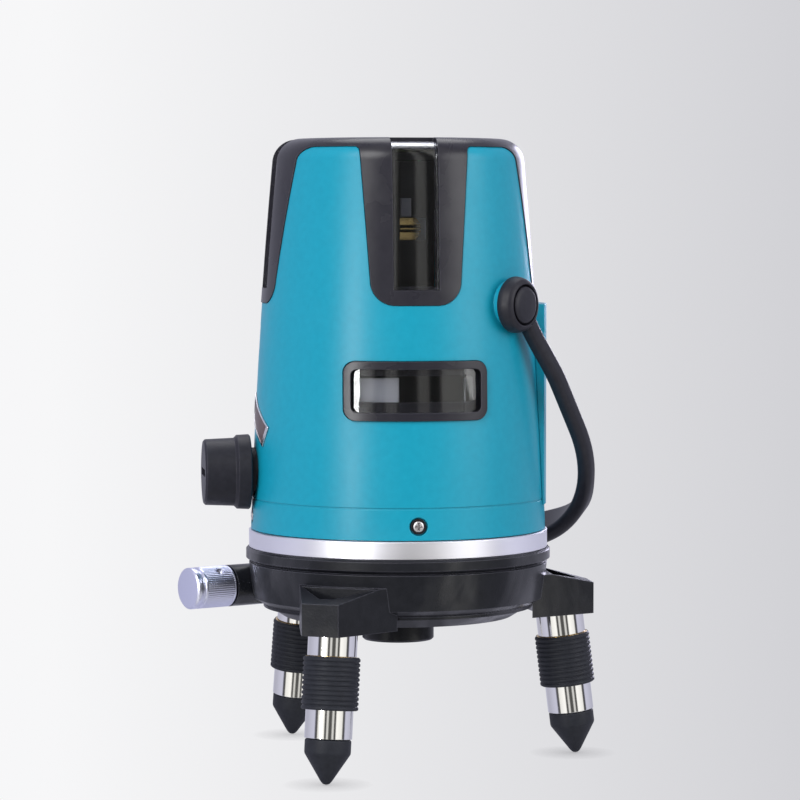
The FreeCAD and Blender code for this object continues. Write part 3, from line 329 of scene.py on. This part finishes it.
def marks_group():
    group, given, result = new_group("Handling Marks", [("Scale", FLOAT, 35.0)], [("Mask", FLOAT)])
    place = group.nodes.new("ShaderNodeTexCoord")
    smear = group.nodes.new("ShaderNodeTexNoise")
    smear.inputs["Detail"].default_value = 6.0
    smear.inputs["Distortion"].default_value = 0.8
    cut = group.nodes.new("ShaderNodeMapRange")
    cut.inputs["From Min"].default_value = 0.48
    cut.inputs["From Max"].default_value = 0.72
    link(group, place.outputs["Object"], smear.inputs["Vector"])
    link(group, given.outputs["Scale"], smear.inputs["Scale"])
    link(group, smear.outputs["Fac"], cut.inputs["Value"])
    link(group, cut.outputs["Result"], result.inputs["Mask"])
    return group


MARKS = marks_group()
print("group:", MARKS.name)

# %% [markdown]
# ## Materials
# Plastic, rubber and metal differ in colour, gloss and skin, but each is built in the same order: a base colour that
# drifts a little, on plastic and rubber paler at rubbed corners, a gloss broken by handling marks, and a bump for the
# skin.

# %% Node helpers for materials


def place_group(tree, group, **values):
    node = tree.nodes.new("ShaderNodeGroup")
    node.node_tree = group
    for label, value in values.items():
        node.inputs[label.replace("_", " ")].default_value = value
    return node


def blend_colours(tree, mask, first, second, strength=1.0):
    """A colour that goes from first to second as mask goes from 0 to strength."""
    amount = tree.nodes.new("ShaderNodeMath")
    amount.operation = "MULTIPLY"
    amount.inputs[1].default_value = strength
    link(tree, mask, amount.inputs[0])
    mix = tree.nodes.new("ShaderNodeMix")
    mix.data_type = "RGBA"
    link(tree, amount.outputs[0], mix.inputs["Factor"])
    for socket, colour in ((mix.inputs[6], first), (mix.inputs[7], second)):
        if isinstance(colour, bpy.types.NodeSocket):
            link(tree, colour, socket)
        else:
            socket.default_value = (*colour, 1.0)
    return mix.outputs[2]


def spread(tree, mask, low, high):
    """A number that goes from low to high as mask goes from 0 to 1."""
    node = tree.nodes.new("ShaderNodeMapRange")
    node.inputs["To Min"].default_value = low
    node.inputs["To Max"].default_value = high
    link(tree, mask, node.inputs["Value"])
    return node.outputs["Result"]


def bump(tree, height, strength, depth, normal=None):
    node = tree.nodes.new("ShaderNodeBump")
    node.inputs["Strength"].default_value = strength
    node.inputs["Distance"].default_value = depth
    link(tree, height, node.inputs["Height"])
    if normal is not None:
        link(tree, normal, node.inputs["Normal"])
    return node.outputs["Normal"]


def blank(name):
    material = bpy.data.materials.new(name)
    material.use_nodes = True
    return material, material.node_tree, material.node_tree.nodes["Principled BSDF"]


print("helpers ready")

# %% Plastic and rubber


def plastic(name, colour, drift, rubbed, gloss, shine=0.3, scale=2600.0, depth=0.03, patch=60.0, edge=0.0004,
            coat=0.0):
    """gloss is the roughness where clean and where marked, shine the specular level, depth the grain's height in
    millimetres, and coat the most that a polished patch has over it."""
    material, tree, shader = blank(name)
    grain = place_group(tree, GRAIN, Scale=scale, Patch_Scale=patch)
    worn = place_group(tree, EDGE, Radius=edge)
    marks = place_group(tree, MARKS)
    base = blend_colours(tree, grain.outputs["Patch"], colour, drift)
    link(tree, blend_colours(tree, worn.outputs["Mask"], base, rubbed, 0.6), shader.inputs["Base Color"])
    link(tree, spread(tree, marks.outputs["Mask"], *gloss), shader.inputs["Roughness"])
    shader.inputs["Specular IOR Level"].default_value = shine
    if coat:
        link(tree, spread(tree, marks.outputs["Mask"], 0.0, coat), shader.inputs["Coat Weight"])
        shader.inputs["Coat Roughness"].default_value = 0.22
    skin = bump(tree, grain.outputs["Height"], 0.5, depth * MM, worn.outputs["Normal"])
    link(tree, skin, shader.inputs["Normal"])
    return material


TEAL = plastic("teal shell", (0.003, 0.270, 0.405), (0.006, 0.320, 0.475), (0.03, 0.42, 0.58), (0.34, 0.42),
               0.32, 2200, 0.05, 420)
CAP_BLACK = plastic("cap black", (0.014, 0.014, 0.021), (0.026, 0.025, 0.035), (0.10, 0.10, 0.13), (0.26, 0.44),
                    0.28, 2600, 0.02, 240, coat=0.4)
BASE_BLACK = plastic("base black", (0.007, 0.008, 0.011), (0.017, 0.018, 0.024), (0.13, 0.13, 0.17), (0.36, 0.20),
                     0.18, 1500, 0.09, 300, coat=1.0)
CHARCOAL = plastic("handle charcoal", (0.012, 0.012, 0.018), (0.024, 0.024, 0.034), (0.08, 0.08, 0.11), (0.40, 0.52),
                   0.24, 1800, 0.06, 500)
INNER_BLACK = plastic("inner plastic", (0.007, 0.007, 0.009), (0.011, 0.011, 0.013), (0.03, 0.03, 0.035), (0.5, 0.6),
                      0.15)
BUTTON_GREY = plastic("button rubber", (0.10, 0.10, 0.11), (0.12, 0.12, 0.13), (0.18, 0.18, 0.19), (0.55, 0.7))
RUBBER = plastic("leg rubber", (0.012, 0.013, 0.019), (0.024, 0.027, 0.037), (0.06, 0.06, 0.08), (0.50, 0.62),
                 0.22, 1800, 0.10, 500)
BOARD_GREEN = plastic("circuit board", (0.01, 0.12, 0.05), (0.012, 0.16, 0.065), (0.2, 0.3, 0.15), (0.3, 0.4))
CELL_BLUE = plastic("cell sleeve", (0.02, 0.08, 0.35), (0.025, 0.10, 0.40), (0.1, 0.2, 0.5), (0.25, 0.35))
BADGE_DARK = plastic("badge field", (0.035, 0.024, 0.028), (0.16, 0.11, 0.12), (0.3, 0.3, 0.32), (0.3, 0.4),
                     patch=500)
PALE_BLOCK = plastic("prism holder", (0.62, 0.62, 0.70), (0.72, 0.72, 0.80), (0.8, 0.8, 0.86), (0.3, 0.4))
DIM_BLOCK = plastic("shaded holder", (0.09, 0.09, 0.11), (0.13, 0.13, 0.15), (0.2, 0.2, 0.22), (0.3, 0.4))
print("plastics and rubbers made")

# %% Metals


def metal(name, colour, drift, gloss, stretch, scale, depth=0.01, edge=0.0003):
    """stretch squeezes the lines across each axis, so a small number there makes them long."""
    material, tree, shader = blank(name)
    lines = place_group(tree, LINES, Stretch=stretch, Scale=scale)
    worn = place_group(tree, EDGE, Radius=edge)
    marks = place_group(tree, MARKS)
    link(tree, blend_colours(tree, lines.outputs["Tone"], colour, drift), shader.inputs["Base Color"])
    rough = spread(tree, lines.outputs["Height"], *gloss)
    extra = tree.nodes.new("ShaderNodeMath")
    extra.operation = "MULTIPLY_ADD"
    extra.inputs[1].default_value = 0.06
    link(tree, marks.outputs["Mask"], extra.inputs[0])
    link(tree, rough, extra.inputs[2])
    link(tree, extra.outputs[0], shader.inputs["Roughness"])
    link(tree, bump(tree, lines.outputs["Height"], 0.4, depth * MM, worn.outputs["Normal"]), shader.inputs["Normal"])
    shader.inputs["Metallic"].default_value = 1.0
    return material


CHROME = metal("leg chrome", (0.86, 0.86, 0.88), (0.90, 0.89, 0.86), (0.03, 0.08), (1, 1, 0.05), 900, 0.002)
# The ring and knob colours lean lavender: the metals' own pale grey with painted reflection of the cool studio light
# mixed in.
RING_METAL = metal("ring aluminium", (0.90, 0.90, 1.0), (0.94, 0.94, 1.0), (0.32, 0.44), (0.04, 0.04, 1), 2500, 0.01)
KNOB_METAL = metal("knob aluminium", (0.74, 0.76, 0.95), (0.80, 0.82, 1.0), (0.26, 0.38), (1, 1, 1), 1200, 0.01)
MACHINED = metal("machined aluminium", (0.70, 0.71, 0.73), (0.76, 0.76, 0.78), (0.25, 0.38), (1, 1, 0.1), 900)
STEEL = metal("plain steel", (0.55, 0.55, 0.57), (0.62, 0.62, 0.63), (0.22, 0.34), (1, 1, 0.2), 900)
DARK_STEEL = metal("screw steel", (0.62, 0.60, 0.62), (0.72, 0.70, 0.71), (0.28, 0.40), (1, 1, 1), 900)
BRASS = metal("turned brass", (0.72, 0.52, 0.22), (0.80, 0.60, 0.28), (0.20, 0.32), (0.1, 0.1, 1), 1200)
COPPER = metal("copper plate", (0.75, 0.38, 0.24), (0.82, 0.45, 0.30), (0.20, 0.32), (0.1, 0.1, 1), 1200)
BADGE_METAL = metal("badge rim", (0.82, 0.82, 0.84), (0.88, 0.88, 0.90), (0.15, 0.25), (1, 1, 0.1), 1500)
print("metals made")

# %% [markdown]
# Glass is the odd one out. Its colour is set plainly and it lets light through, and only its gloss has any marks.

# %% Glass


def glass(name, colour, gloss=(0.01, 0.05)):
    material, tree, shader = blank(name)
    marks = place_group(tree, MARKS, Scale=50.0)
    link(tree, spread(tree, marks.outputs["Mask"], *gloss), shader.inputs["Roughness"])
    tint = blend_colours(tree, marks.outputs["Mask"], colour, tuple(0.94 * c for c in colour))
    link(tree, tint, shader.inputs["Base Color"])
    shader.inputs["Transmission Weight"].default_value = 1.0
    shader.inputs["IOR"].default_value = 1.45
    return material


WINDOW = glass("window glass", (0.78, 0.80, 0.82))
VIAL = glass("vial glass", (0.55, 0.85, 0.18))
print("glass made")

# %% Finish every part of the frame
FINISH = {
    "teal_plastic": TEAL, "cap_plastic": CAP_BLACK, "base_plastic": BASE_BLACK, "handle_plastic": CHARCOAL,
    "inner_plastic": INNER_BLACK, "button_rubber": BUTTON_GREY, "window_glass": WINDOW, "vial_glass": VIAL,
    "ring_aluminium": RING_METAL, "aluminium": MACHINED, "leg_chrome": CHROME, "leg_rubber": RUBBER,
    "brass": BRASS, "steel": STEEL, "screw_steel": DARK_STEEL, "badge_metal": BADGE_DARK,
    "clutch_rubber": RUBBER, "board": BOARD_GREEN, "cell": CELL_BLUE, "copper": COPPER,
}
for part in frame["record"]["subparts"]:
    node = frame["nodes"][part["node"]]
    node.data.materials.clear()
    node.data.materials.append(FINISH[part["material_slot"]])

# %% [markdown]
# ## Turned parts
# Sleeves, feet and knobs are all turned shapes, so one helper spins an outline about an axis. The outline's corners
# are rounded first, because a real moulded corner always catches a line of light.

# %% Helpers for turned parts


def azimuth_vector(degrees, radius=1.0, z=0.0):
    """A point at an angle round the body; 0 is straight ahead at the front."""
    a = math.radians(degrees)
    return Vector((radius * math.sin(a), -radius * math.cos(a), z))


def rounded(outline, radius, steps=4):
    """The outline with each inner corner replaced by a short arc-like curve."""
    points = [Vector(p) for p in outline]
    out = [points[0]]
    for before, here, after in zip(points, points[1:], points[2:]):
        back, ahead = before - here, after - here
        cut = min(radius, back.length * 0.45, ahead.length * 0.45)
        start, end = here + back.normalized() * cut, here + ahead.normalized() * cut
        for n in range(steps + 1):
            t = n / steps
            out.append(start * (1 - t) ** 2 + here * 2 * t * (1 - t) + end * t ** 2)
    return out + [points[-1]]


SHARP_FROM = math.radians(38)     # edges sharper than this stay crisp


def make_object(name, mesh, material, slot, body, *nodes):
    """Links a finished mesh as a piece that rides on a body and stands for its nodes."""
    piece = bpy.data.objects.new(name, mesh)
    bpy.context.scene.collection.objects.link(piece)
    mesh.materials.append(material)
    mesh.shade_smooth()
    mesh.set_sharp_from_angle(angle=SHARP_FROM)
    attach(piece, body)
    if nodes:
        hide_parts(*nodes)
    return piece


def finished(drawn, name):
    """The mesh of what was drawn, with its faces turned outwards."""
    bmesh.ops.recalc_face_normals(drawn, faces=drawn.faces)
    mesh = bpy.data.meshes.new(name)
    drawn.to_mesh(mesh)
    drawn.free()
    return mesh


def spin(name, outline, origin, axis, segments=96, shape=None):
    """A mesh turned about axis through origin. The outline is (radius, distance) in millimetres, and shape may
    change a radius by the angle and the distance. Points on the axis close the ends."""
    across = Vector(axis).normalized()
    frame_turn = across.to_track_quat("Z", "Y").to_matrix()
    mesh_data = bmesh.new()
    rings = []
    for radius, distance in outline:
        if radius < 1e-6:
            rings.append([mesh_data.verts.new(Vector(origin) + across * distance * MM)])
            continue
        ring = []
        for n in range(segments):
            a = math.tau * n / segments
            r = radius + (shape(a, distance) if shape else 0.0)
            flat = Vector((r * math.cos(a), r * math.sin(a), distance)) * MM
            ring.append(mesh_data.verts.new(Vector(origin) + frame_turn @ flat))
        rings.append(ring)
    for low, high in zip(rings, rings[1:]):
        if len(low) == len(high) == 1:
            continue
        for n in range(segments):
            m = (n + 1) % segments
            if len(low) == 1:
                corners = (low[0], high[m], high[n])
            elif len(high) == 1:
                corners = (low[n], low[m], high[0])
            else:
                corners = (low[n], low[m], high[m], high[n])
            mesh_data.faces.new(corners)
    if len(rings[0]) > 1:
        for n in range(segments):
            m = (n + 1) % segments
            mesh_data.faces.new((rings[-1][n], rings[-1][m], rings[0][m], rings[0][n]))
    return finished(mesh_data, name)


def combine(mesh, other, operation):
    """The exact boolean of two closed meshes. Both are removed afterwards, so only the result stays."""
    first, second = bpy.data.objects.new("first", mesh), bpy.data.objects.new("second", other)
    for piece in (first, second):
        bpy.context.scene.collection.objects.link(piece)
    step = first.modifiers.new("combine", "BOOLEAN")
    step.operation, step.object, step.solver = operation, second, "EXACT"
    bpy.context.view_layer.update()
    result = bpy.data.meshes.new_from_object(first.evaluated_get(bpy.context.evaluated_depsgraph_get()))
    for piece, used in ((first, mesh), (second, other)):
        bpy.data.objects.remove(piece)
        bpy.data.meshes.remove(used)
    return result


print("turning helpers ready")

# %% [markdown]
# ## The three legs
# Each leg has a rubber sleeve that is turned to raise or lower the foot. Its ribs are saw teeth with soft tips, and
# a fine line runs down each side where the two halves of the mould met. The foot is a rubber cone with a blunt point.

# %% Leg sleeves and feet
LEG_AZIMUTHS = (-30.0, 90.0, 210.0)
LEG_TILT = 7.0
GRIP_START, GRIP_END, GRIP_INNER, GRIP_OUTER = 6.5, 24.2, 8.95, 9.6
FOOT_START, FOOT_END, FOOT_WIDE = 33.7, 49.1, 7.8
RIBS, RIB_DEPTH, SPLIT_DEPTH = 11, 0.42, 0.12


def leg_axis(azimuth):
    tilt = math.radians(LEG_TILT)
    return azimuth_vector(azimuth, math.sin(tilt), -math.cos(tilt))


def sleeve_outline():
    pitch = (GRIP_END - GRIP_START) / RIBS
    points = [(GRIP_INNER, GRIP_START), (GRIP_OUTER - RIB_DEPTH, GRIP_START)]
    for n in range(RIBS):
        start = GRIP_START + n * pitch
        points += [(GRIP_OUTER - RIB_DEPTH, start + 0.16 * pitch), (GRIP_OUTER, start + 0.36 * pitch),
                   (GRIP_OUTER, start + 0.82 * pitch), (GRIP_OUTER - RIB_DEPTH, start + 0.98 * pitch)]
    points += [(GRIP_OUTER - RIB_DEPTH, GRIP_END), (GRIP_INNER, GRIP_END)]
    return rounded(points, 0.16, 2)


def mould_split(angle, distance):
    """A shallow groove down two opposite sides."""
    away = abs(math.remainder(angle, math.pi))
    return -SPLIT_DEPTH if away < 0.03 else 0.0


def foot_outline():
    cone = [(FOOT_WIDE - 0.9, FOOT_START), (FOOT_WIDE, FOOT_START + 0.5), (FOOT_WIDE, FOOT_START + 5.0),
            (1.9, FOOT_END - 1.1), (1.0, FOOT_END - 0.15), (0.0, FOOT_END)]
    return [Vector((0.0, FOOT_START))] + rounded(cone, 0.6, 4)


for number, azimuth in enumerate(LEG_AZIMUTHS, 1):
    top = azimuth_vector(azimuth, 57.4, 7.3) * MM
    sleeve = spin(f"leg_{number}_sleeve", sleeve_outline(), top, leg_axis(azimuth), 144, mould_split)
    make_object(f"leg_{number}_sleeve", sleeve, RUBBER, "leg_rubber", f"leg_{number}_collar", f"leg_{number}_grip")
    foot = spin(f"leg_{number}_point", foot_outline(), top, leg_axis(azimuth), 96)
    make_object(f"leg_{number}_point", foot, RUBBER, "leg_rubber", f"leg_{number}_lower", f"leg_{number}_foot")
    print("leg", number, "sleeve vertices", len(sleeve.vertices), "foot vertices", len(foot.vertices))

# %% [markdown]
# ## The fine knob
# A knurled aluminium knob turns the worm. The knurl is straight, along the axis, so it is made by waving the radius
# of a turned shape. A plain band and a groove stand next to the smooth end face. The clamp screw's hole is cut with
# a boolean, because it crosses the knurl at an angle that no turned outline can follow.

# %% Fine knob
KNOB_START, KNOB_END, KNOB_RADIUS, KNURL_TEETH = 45.3, 61.6, 7.25, 60
WORM_CENTRE = azimuth_vector(207.5, 40.0, 17.8) * MM
WORM_AXIS = azimuth_vector(297.5)


CLAMP_AT, CLAMP_RADIUS = 5.5, 1.5


def knurl(angle, distance):
    if not KNOB_START + 1.0 < distance < KNOB_END - 4.3:
        return 0.0
    return -0.16 * (0.5 - 0.5 * math.cos(angle * KNURL_TEETH))


knob_outline = rounded([
    (2.42, KNOB_START), (KNOB_RADIUS - 0.6, KNOB_START), (KNOB_RADIUS, KNOB_START + 0.6),
    (KNOB_RADIUS, KNOB_START + 0.95), (KNOB_RADIUS, KNOB_START + 1.1), (KNOB_RADIUS, KNOB_END - 4.4),
    (KNOB_RADIUS, KNOB_END - 4.2), (KNOB_RADIUS, KNOB_END - 3.5), (KNOB_RADIUS - 0.7, KNOB_END - 3.2),
    (KNOB_RADIUS - 0.7, KNOB_END - 2.6), (KNOB_RADIUS, KNOB_END - 2.3), (KNOB_RADIUS, KNOB_END - 0.6),
    (KNOB_RADIUS - 0.7, KNOB_END), (0.0, KNOB_END - 0.02)], 0.12, 2)
knob_outline.append(Vector((0.0, KNOB_END - 4.6)))
knob_outline.append(Vector((2.42, KNOB_END - 4.62)))
knob_mesh = spin("knurled_knob", knob_outline, WORM_CENTRE, WORM_AXIS, KNURL_TEETH * 6, knurl)
side = WORM_AXIS.cross(Vector((0.0, 0.0, 1.0)))
CLAMP_WAY = (Vector((0.0, 0.0, 0.83)) - side * 0.55).normalized()
hole = spin("clamp hole", [(0.0, 1.0), (CLAMP_RADIUS, 1.0), (CLAMP_RADIUS, 12.0), (0.0, 12.0)],
            WORM_CENTRE + WORM_AXIS * (KNOB_START + CLAMP_AT) * MM, CLAMP_WAY, 32)
knob_mesh = combine(knob_mesh, hole, "DIFFERENCE")
make_object("knurled_knob", knob_mesh, KNOB_METAL, "aluminium", "fine_drive", "fine_adjust_knob")
print("knob vertices", len(knob_mesh.vertices))

# %% [markdown]
# ## The carry handle
# A soft U that hangs from two round hubs. Its section is a rounded bar down each arm, and it spreads into a wide
# band across the bottom, where the hand goes. It is drawn in its own plane, with the pivot as the zero, and turned
# into place at the end: leaning out from the body, and set across one corner.

# %% Carry handle
PIVOT_Z, HANDLE_LEAN, HANDLE_TURN = 117.6, 35.0, -45.0
BEND_Z, BEND_RADIUS, ARM_TOP, ARM_TOP_RADIUS, ARM_SETTLED = -53.0, 54.5, -7.7, 51.75, -34.0
BAR_THICK, BAR_INNER, BAR_OUTER, BAND_OUTER = 5.5, -2.6, 3.2, 14.0
BAND_FROM, BAND_FULL = 22.0, 74.0
HUB_START, HUB_END, HUB_RADIUS, CAP_SEAT, CAP_WELL = 48.6, 54.6, 9.6, 51.9, 6.9
PIVOT_BORE, RUN_GAP = 2.6, 0.08
HANDLE_PLACE = (Matrix.Translation((0.0, 0.0, PIVOT_Z * MM))
                @ Matrix.Rotation(math.radians(HANDLE_TURN), 4, "Z")
                @ Matrix.Rotation(math.radians(HANDLE_LEAN), 4, "X"))


def handle_path():
    """Middle of the bar, its outward direction in the plane, and the bar's outer face there."""
    arm = []
    for n in range(13):
        z = ARM_TOP + (BEND_Z - ARM_TOP) * n / 13
        share = min((z - ARM_TOP) / (ARM_SETTLED - ARM_TOP), 1.0)
        arm.append((ARM_TOP_RADIUS + (BEND_RADIUS - ARM_TOP_RADIUS) * share * share * (3 - 2 * share), z))
    rows = [(Vector((x, 0, z)), Vector((1, 0, 0)), BAR_OUTER) for x, z in arm]
    for n in range(61):
        angle = math.radians(3.0 * n)
        away = Vector((math.cos(angle), 0, -math.sin(angle)))
        share = min(max((90.0 - abs(90.0 - 3.0 * n) - BAND_FROM) / (BAND_FULL - BAND_FROM), 0.0), 1.0)
        share = share * share * (3 - 2 * share)
        rows.append((Vector((0, 0, BEND_Z)) + away * BEND_RADIUS, away, BAR_OUTER + (BAND_OUTER - BAR_OUTER) * share))
    return rows + [(Vector((-x, 0, z)), Vector((-1, 0, 0)), BAR_OUTER) for x, z in reversed(arm)]


def bar_section(outer, steps=6, corner=2.2):
    """A rounded rectangle, as offsets outward in the plane and across it."""
    half, middle, reach = BAR_THICK / 2 - corner, (outer + BAR_INNER) / 2, (outer - BAR_INNER) / 2 - corner
    points = []
    for quarter, (u, v) in enumerate(((half, reach), (-half, reach), (-half, -reach), (half, -reach))):
        for n in range(steps + 1):
            a = math.radians(90.0 * (quarter + n / steps))
            points.append((u + corner * math.cos(a), middle + v + corner * math.sin(a)))
    return points


def sweep_handle():
    """The bar and band in the handle's own plane, closed at both ends."""
    drawn = bmesh.new()
    rings = []
    for centre, away, outer in handle_path():
        rings.append([drawn.verts.new((centre + away * u + Vector((0, v, 0))) * MM) for u, v in bar_section(outer)])
    for low, high in zip(rings, rings[1:]):
        for n in range(len(low)):
            m = (n + 1) % len(low)
            drawn.faces.new((low[n], low[m], high[m], high[n]))
    drawn.faces.new(rings[0])
    drawn.faces.new(rings[-1])
    return finished(drawn, "handle_bar")


HUB_OUTLINE = rounded([
    (PIVOT_BORE, HUB_START), (HUB_RADIUS - 0.6, HUB_START), (HUB_RADIUS, HUB_START + 0.8),
    (HUB_RADIUS, HUB_START + 2.2), (HUB_RADIUS - 0.9, HUB_END - 1.0), (CAP_WELL, HUB_END),
    (CAP_WELL, CAP_SEAT - RUN_GAP), (PIVOT_BORE, CAP_SEAT - RUN_GAP)], 1.3, 5)
CAP_OUTLINE = [Vector((0.0, 53.3))] + rounded([
    (0.0, 53.3), (6.1, 53.3), (6.3, 54.3), (5.2, 54.95), (2.5, 55.3), (0.0, 55.4)], 0.8, 4)
handle_mesh = sweep_handle()
for way in (1, -1):
    hub = spin("hub", HUB_OUTLINE, (0, 0, 0), (way, 0, 0), 96)
    handle_mesh = combine(handle_mesh, hub, "UNION")
    cap_mesh = spin("hub_cap", CAP_OUTLINE, (0, 0, 0), (way, 0, 0), 96)
    cap_mesh.transform(HANDLE_PLACE)
    cap_name = "hub_cap_front" if way > 0 else "hub_cap_rear"
    make_object(cap_name, cap_mesh, CHARCOAL, "handle_plastic", "handle", "handle_hub_caps")
handle_mesh.transform(HANDLE_PLACE)
make_object("carry_handle", handle_mesh, CHARCOAL, "handle_plastic", "handle", "handle_bail")
print("handle vertices", len(handle_mesh.vertices))

# %% [markdown]
# ## Behind the glass
# The windows look into a dark box. Black sheets just inside each are painted shade for the inside of the housing, and
# through them show only the face of the laser holder above, and a pale holder to the left of the beam below.

# %% Linings: painted shade behind the glass
EDGE_CUT = 0.12


def box_mesh(name, *boxes):
    """Closed boxes, each given by its low and high corner in millimetres, with softly cut edges."""
    drawn = bmesh.new()
    for low, high in boxes:
        made = bmesh.ops.create_cube(drawn, size=1.0)["verts"]
        for corner in made:
            corner.co = Vector([(a + b) / 2 + c * (b - a) for a, b, c in zip(low, high, corner.co)]) * MM
    bmesh.ops.bevel(drawn, geom=drawn.edges[:], offset=EDGE_CUT * MM, segments=2, affect="EDGES", clamp_overlap=True)
    mesh = bpy.data.meshes.new(name)
    drawn.to_mesh(mesh)
    drawn.free()
    return mesh


# the two sides, the parts above and below the opening, and the top strip with its lid
FRAMES = (((-7.3, -36.6, 123.2), (-4.4, -36.0, 166.0)), ((4.4, -36.6, 123.2), (7.3, -36.0, 166.0)),
          ((-4.4, -36.6, 147.0), (4.4, -36.0, 166.0)), ((-4.4, -36.6, 123.2), (4.4, -36.0, 139.6)),
          ((-7.3, -36.6, 166.3), (7.3, -36.0, 169.0)), ((-7.3, -35.9, 168.4), (7.3, -31.0, 169.0)))
UPPER_HOLDER = ((-4.3, -37.2, 147.4), (-0.6, -36.4, 153.6))
# Painted shade: these black boxes stand in for the shade inside the housing, so the parts behind them stay hidden.
for quarter, side_name in enumerate(("front", "right", "rear", "left")):
    shade_lining = box_mesh(f"{side_name}_lining", *FRAMES)
    side_turn = Matrix.Rotation(math.radians(90.0 * quarter), 4, "Z")
    shade_lining.transform(side_turn)
    make_object(f"{side_name}_lining", shade_lining, INNER_BLACK, "inner_plastic", "head")
    block = box_mesh(f"{side_name}_holder", UPPER_HOLDER)
    block.transform(side_turn)
    make_object(f"{side_name}_holder", block, DIM_BLOCK, "inner_plastic", "head")

# The lower window gets the same painted shade, a black box, with a pale holder and a pale bar in front of it.
for low_name, corners, finish in (
        ("lower_shade_lining", ((-21.5, -38.4, 83.0), (21.5, -37.8, 96.0)), INNER_BLACK),
        ("lower_holder", ((-18.4, -39.6, 84.9), (-5.0, -38.6, 93.3)), PALE_BLOCK),
        ("lower_light_bar", ((17.0, -39.6, 84.9), (17.5, -38.6, 93.3)), PALE_BLOCK)):
    make_object(low_name, box_mesh(low_name, corners), finish, "inner_plastic", "head")
print("linings made")

# %% [markdown]
# ## Badge rim and front screws
# The badge plate has a thin bright frame round its dark field. Each shell screw is a low domed head in a dark cup,
# with a deep cross recess cut by a boolean, because a painted cross would stay flat when the light moves.

# %% Badge rim
BADGE_AZIMUTH, BADGE_Z, BADGE_FACE, BADGE_SLOPE = -84.0, 77.5, 49.8, 0.0465
WRAP_RADIUS = 49.0
BADGE_CORNERS = ((12.0, -2.1), (7.6, -8.9), (-12.0, 2.1), (-7.6, 8.9))


def badge_point(across, up, radius):
    """A point of the badge, wrapped round the tapering body."""
    azimuth = BADGE_AZIMUTH + math.degrees(across / WRAP_RADIUS)
    return azimuth_vector(azimuth, radius - BADGE_SLOPE * up, BADGE_Z + up) * MM


def badge_rim(name, steps=8, inset=0.86, proud=0.35):
    """A thin frame round the diamond: outer foot, outer edge, inner edge, inner foot."""
    drawn = bmesh.new()
    rows = []
    for share, radius in ((1.0, BADGE_FACE), (1.0, BADGE_FACE + proud), (inset, BADGE_FACE + proud),
                          (inset, BADGE_FACE)):
        row = []
        for start, end in zip(BADGE_CORNERS, BADGE_CORNERS[1:] + BADGE_CORNERS[:1]):
            for n in range(steps):
                across, up = Vector(start).lerp(Vector(end), n / steps) * share
                row.append(drawn.verts.new(badge_point(across, up, radius)))
        rows.append(row)
    for low, high in zip(rows, rows[1:] + rows[:1]):
        for n in range(len(low)):
            m = (n + 1) % len(low)
            drawn.faces.new((low[n], low[m], high[m], high[n]))
    return finished(drawn, name)


make_object("badge_rim", badge_rim("badge_rim"), BADGE_METAL, "badge_metal", "head")
print("badge rim made")

# %% Screws
SCREW_Z, SCREW_FACE, SCREW_RADIUS = 44.0, 50.95, 2.35


def screw_cross(name, width, reach, low, high):
    """A cross-shaped prism that cuts the recess, tapering to its floor."""
    drawn = bmesh.new()
    outline = []
    for quarter in range(4):
        turn = Matrix.Rotation(math.radians(90 * quarter), 2)
        outline += [turn @ Vector(p) for p in ((width, width), (width, reach), (-width, reach))]
    floor_ring = [drawn.verts.new((p.x * 0.55 * MM, p.y * 0.55 * MM, low * MM)) for p in outline]
    mouth_ring = [drawn.verts.new((p.x * MM, p.y * MM, high * MM)) for p in outline]
    for n in range(len(outline)):
        m = (n + 1) % len(outline)
        drawn.faces.new((floor_ring[n], floor_ring[m], mouth_ring[m], mouth_ring[n]))
    drawn.faces.new(floor_ring)
    drawn.faces.new(mouth_ring)
    return finished(drawn, name)


for number, azimuth in enumerate((0.0, 90.0, 180.0, 270.0), 1):
    head_outline = rounded([(0.0, -1.4), (1.9, -1.4), (1.9, 0.1), (1.5, 0.42), (0.0, 0.6)], 0.3, 4)
    head_mesh = spin("screw_head", head_outline, (0, 0, 0), (0, 0, 1), 48)
    head_mesh = combine(head_mesh, screw_cross("cross", 0.36, 1.45, -1.1, 0.9), "DIFFERENCE")
    cup_outline = [(1.95, -1.0), (SCREW_RADIUS + 0.25, -1.0), (SCREW_RADIUS + 0.25, 0.0), (SCREW_RADIUS, 0.15),
                   (1.95, -0.1)]
    cup_mesh = spin("screw_cup", [Vector(p) for p in cup_outline], (0, 0, 0), (0, 0, 1), 48)
    place = Matrix.Translation(azimuth_vector(azimuth, SCREW_FACE, SCREW_Z) * MM) @ azimuth_vector(
        azimuth).to_track_quat("Z", "Y").to_matrix().to_4x4()
    for mesh in (head_mesh, cup_mesh):
        mesh.transform(place)
    make_object(f"screw_{number}_head", head_mesh, DARK_STEEL, "screw_steel", "head", "shell_screws")
    make_object(f"screw_{number}_cup", cup_mesh, INNER_BLACK, "inner_plastic", "head")
print("screws made")
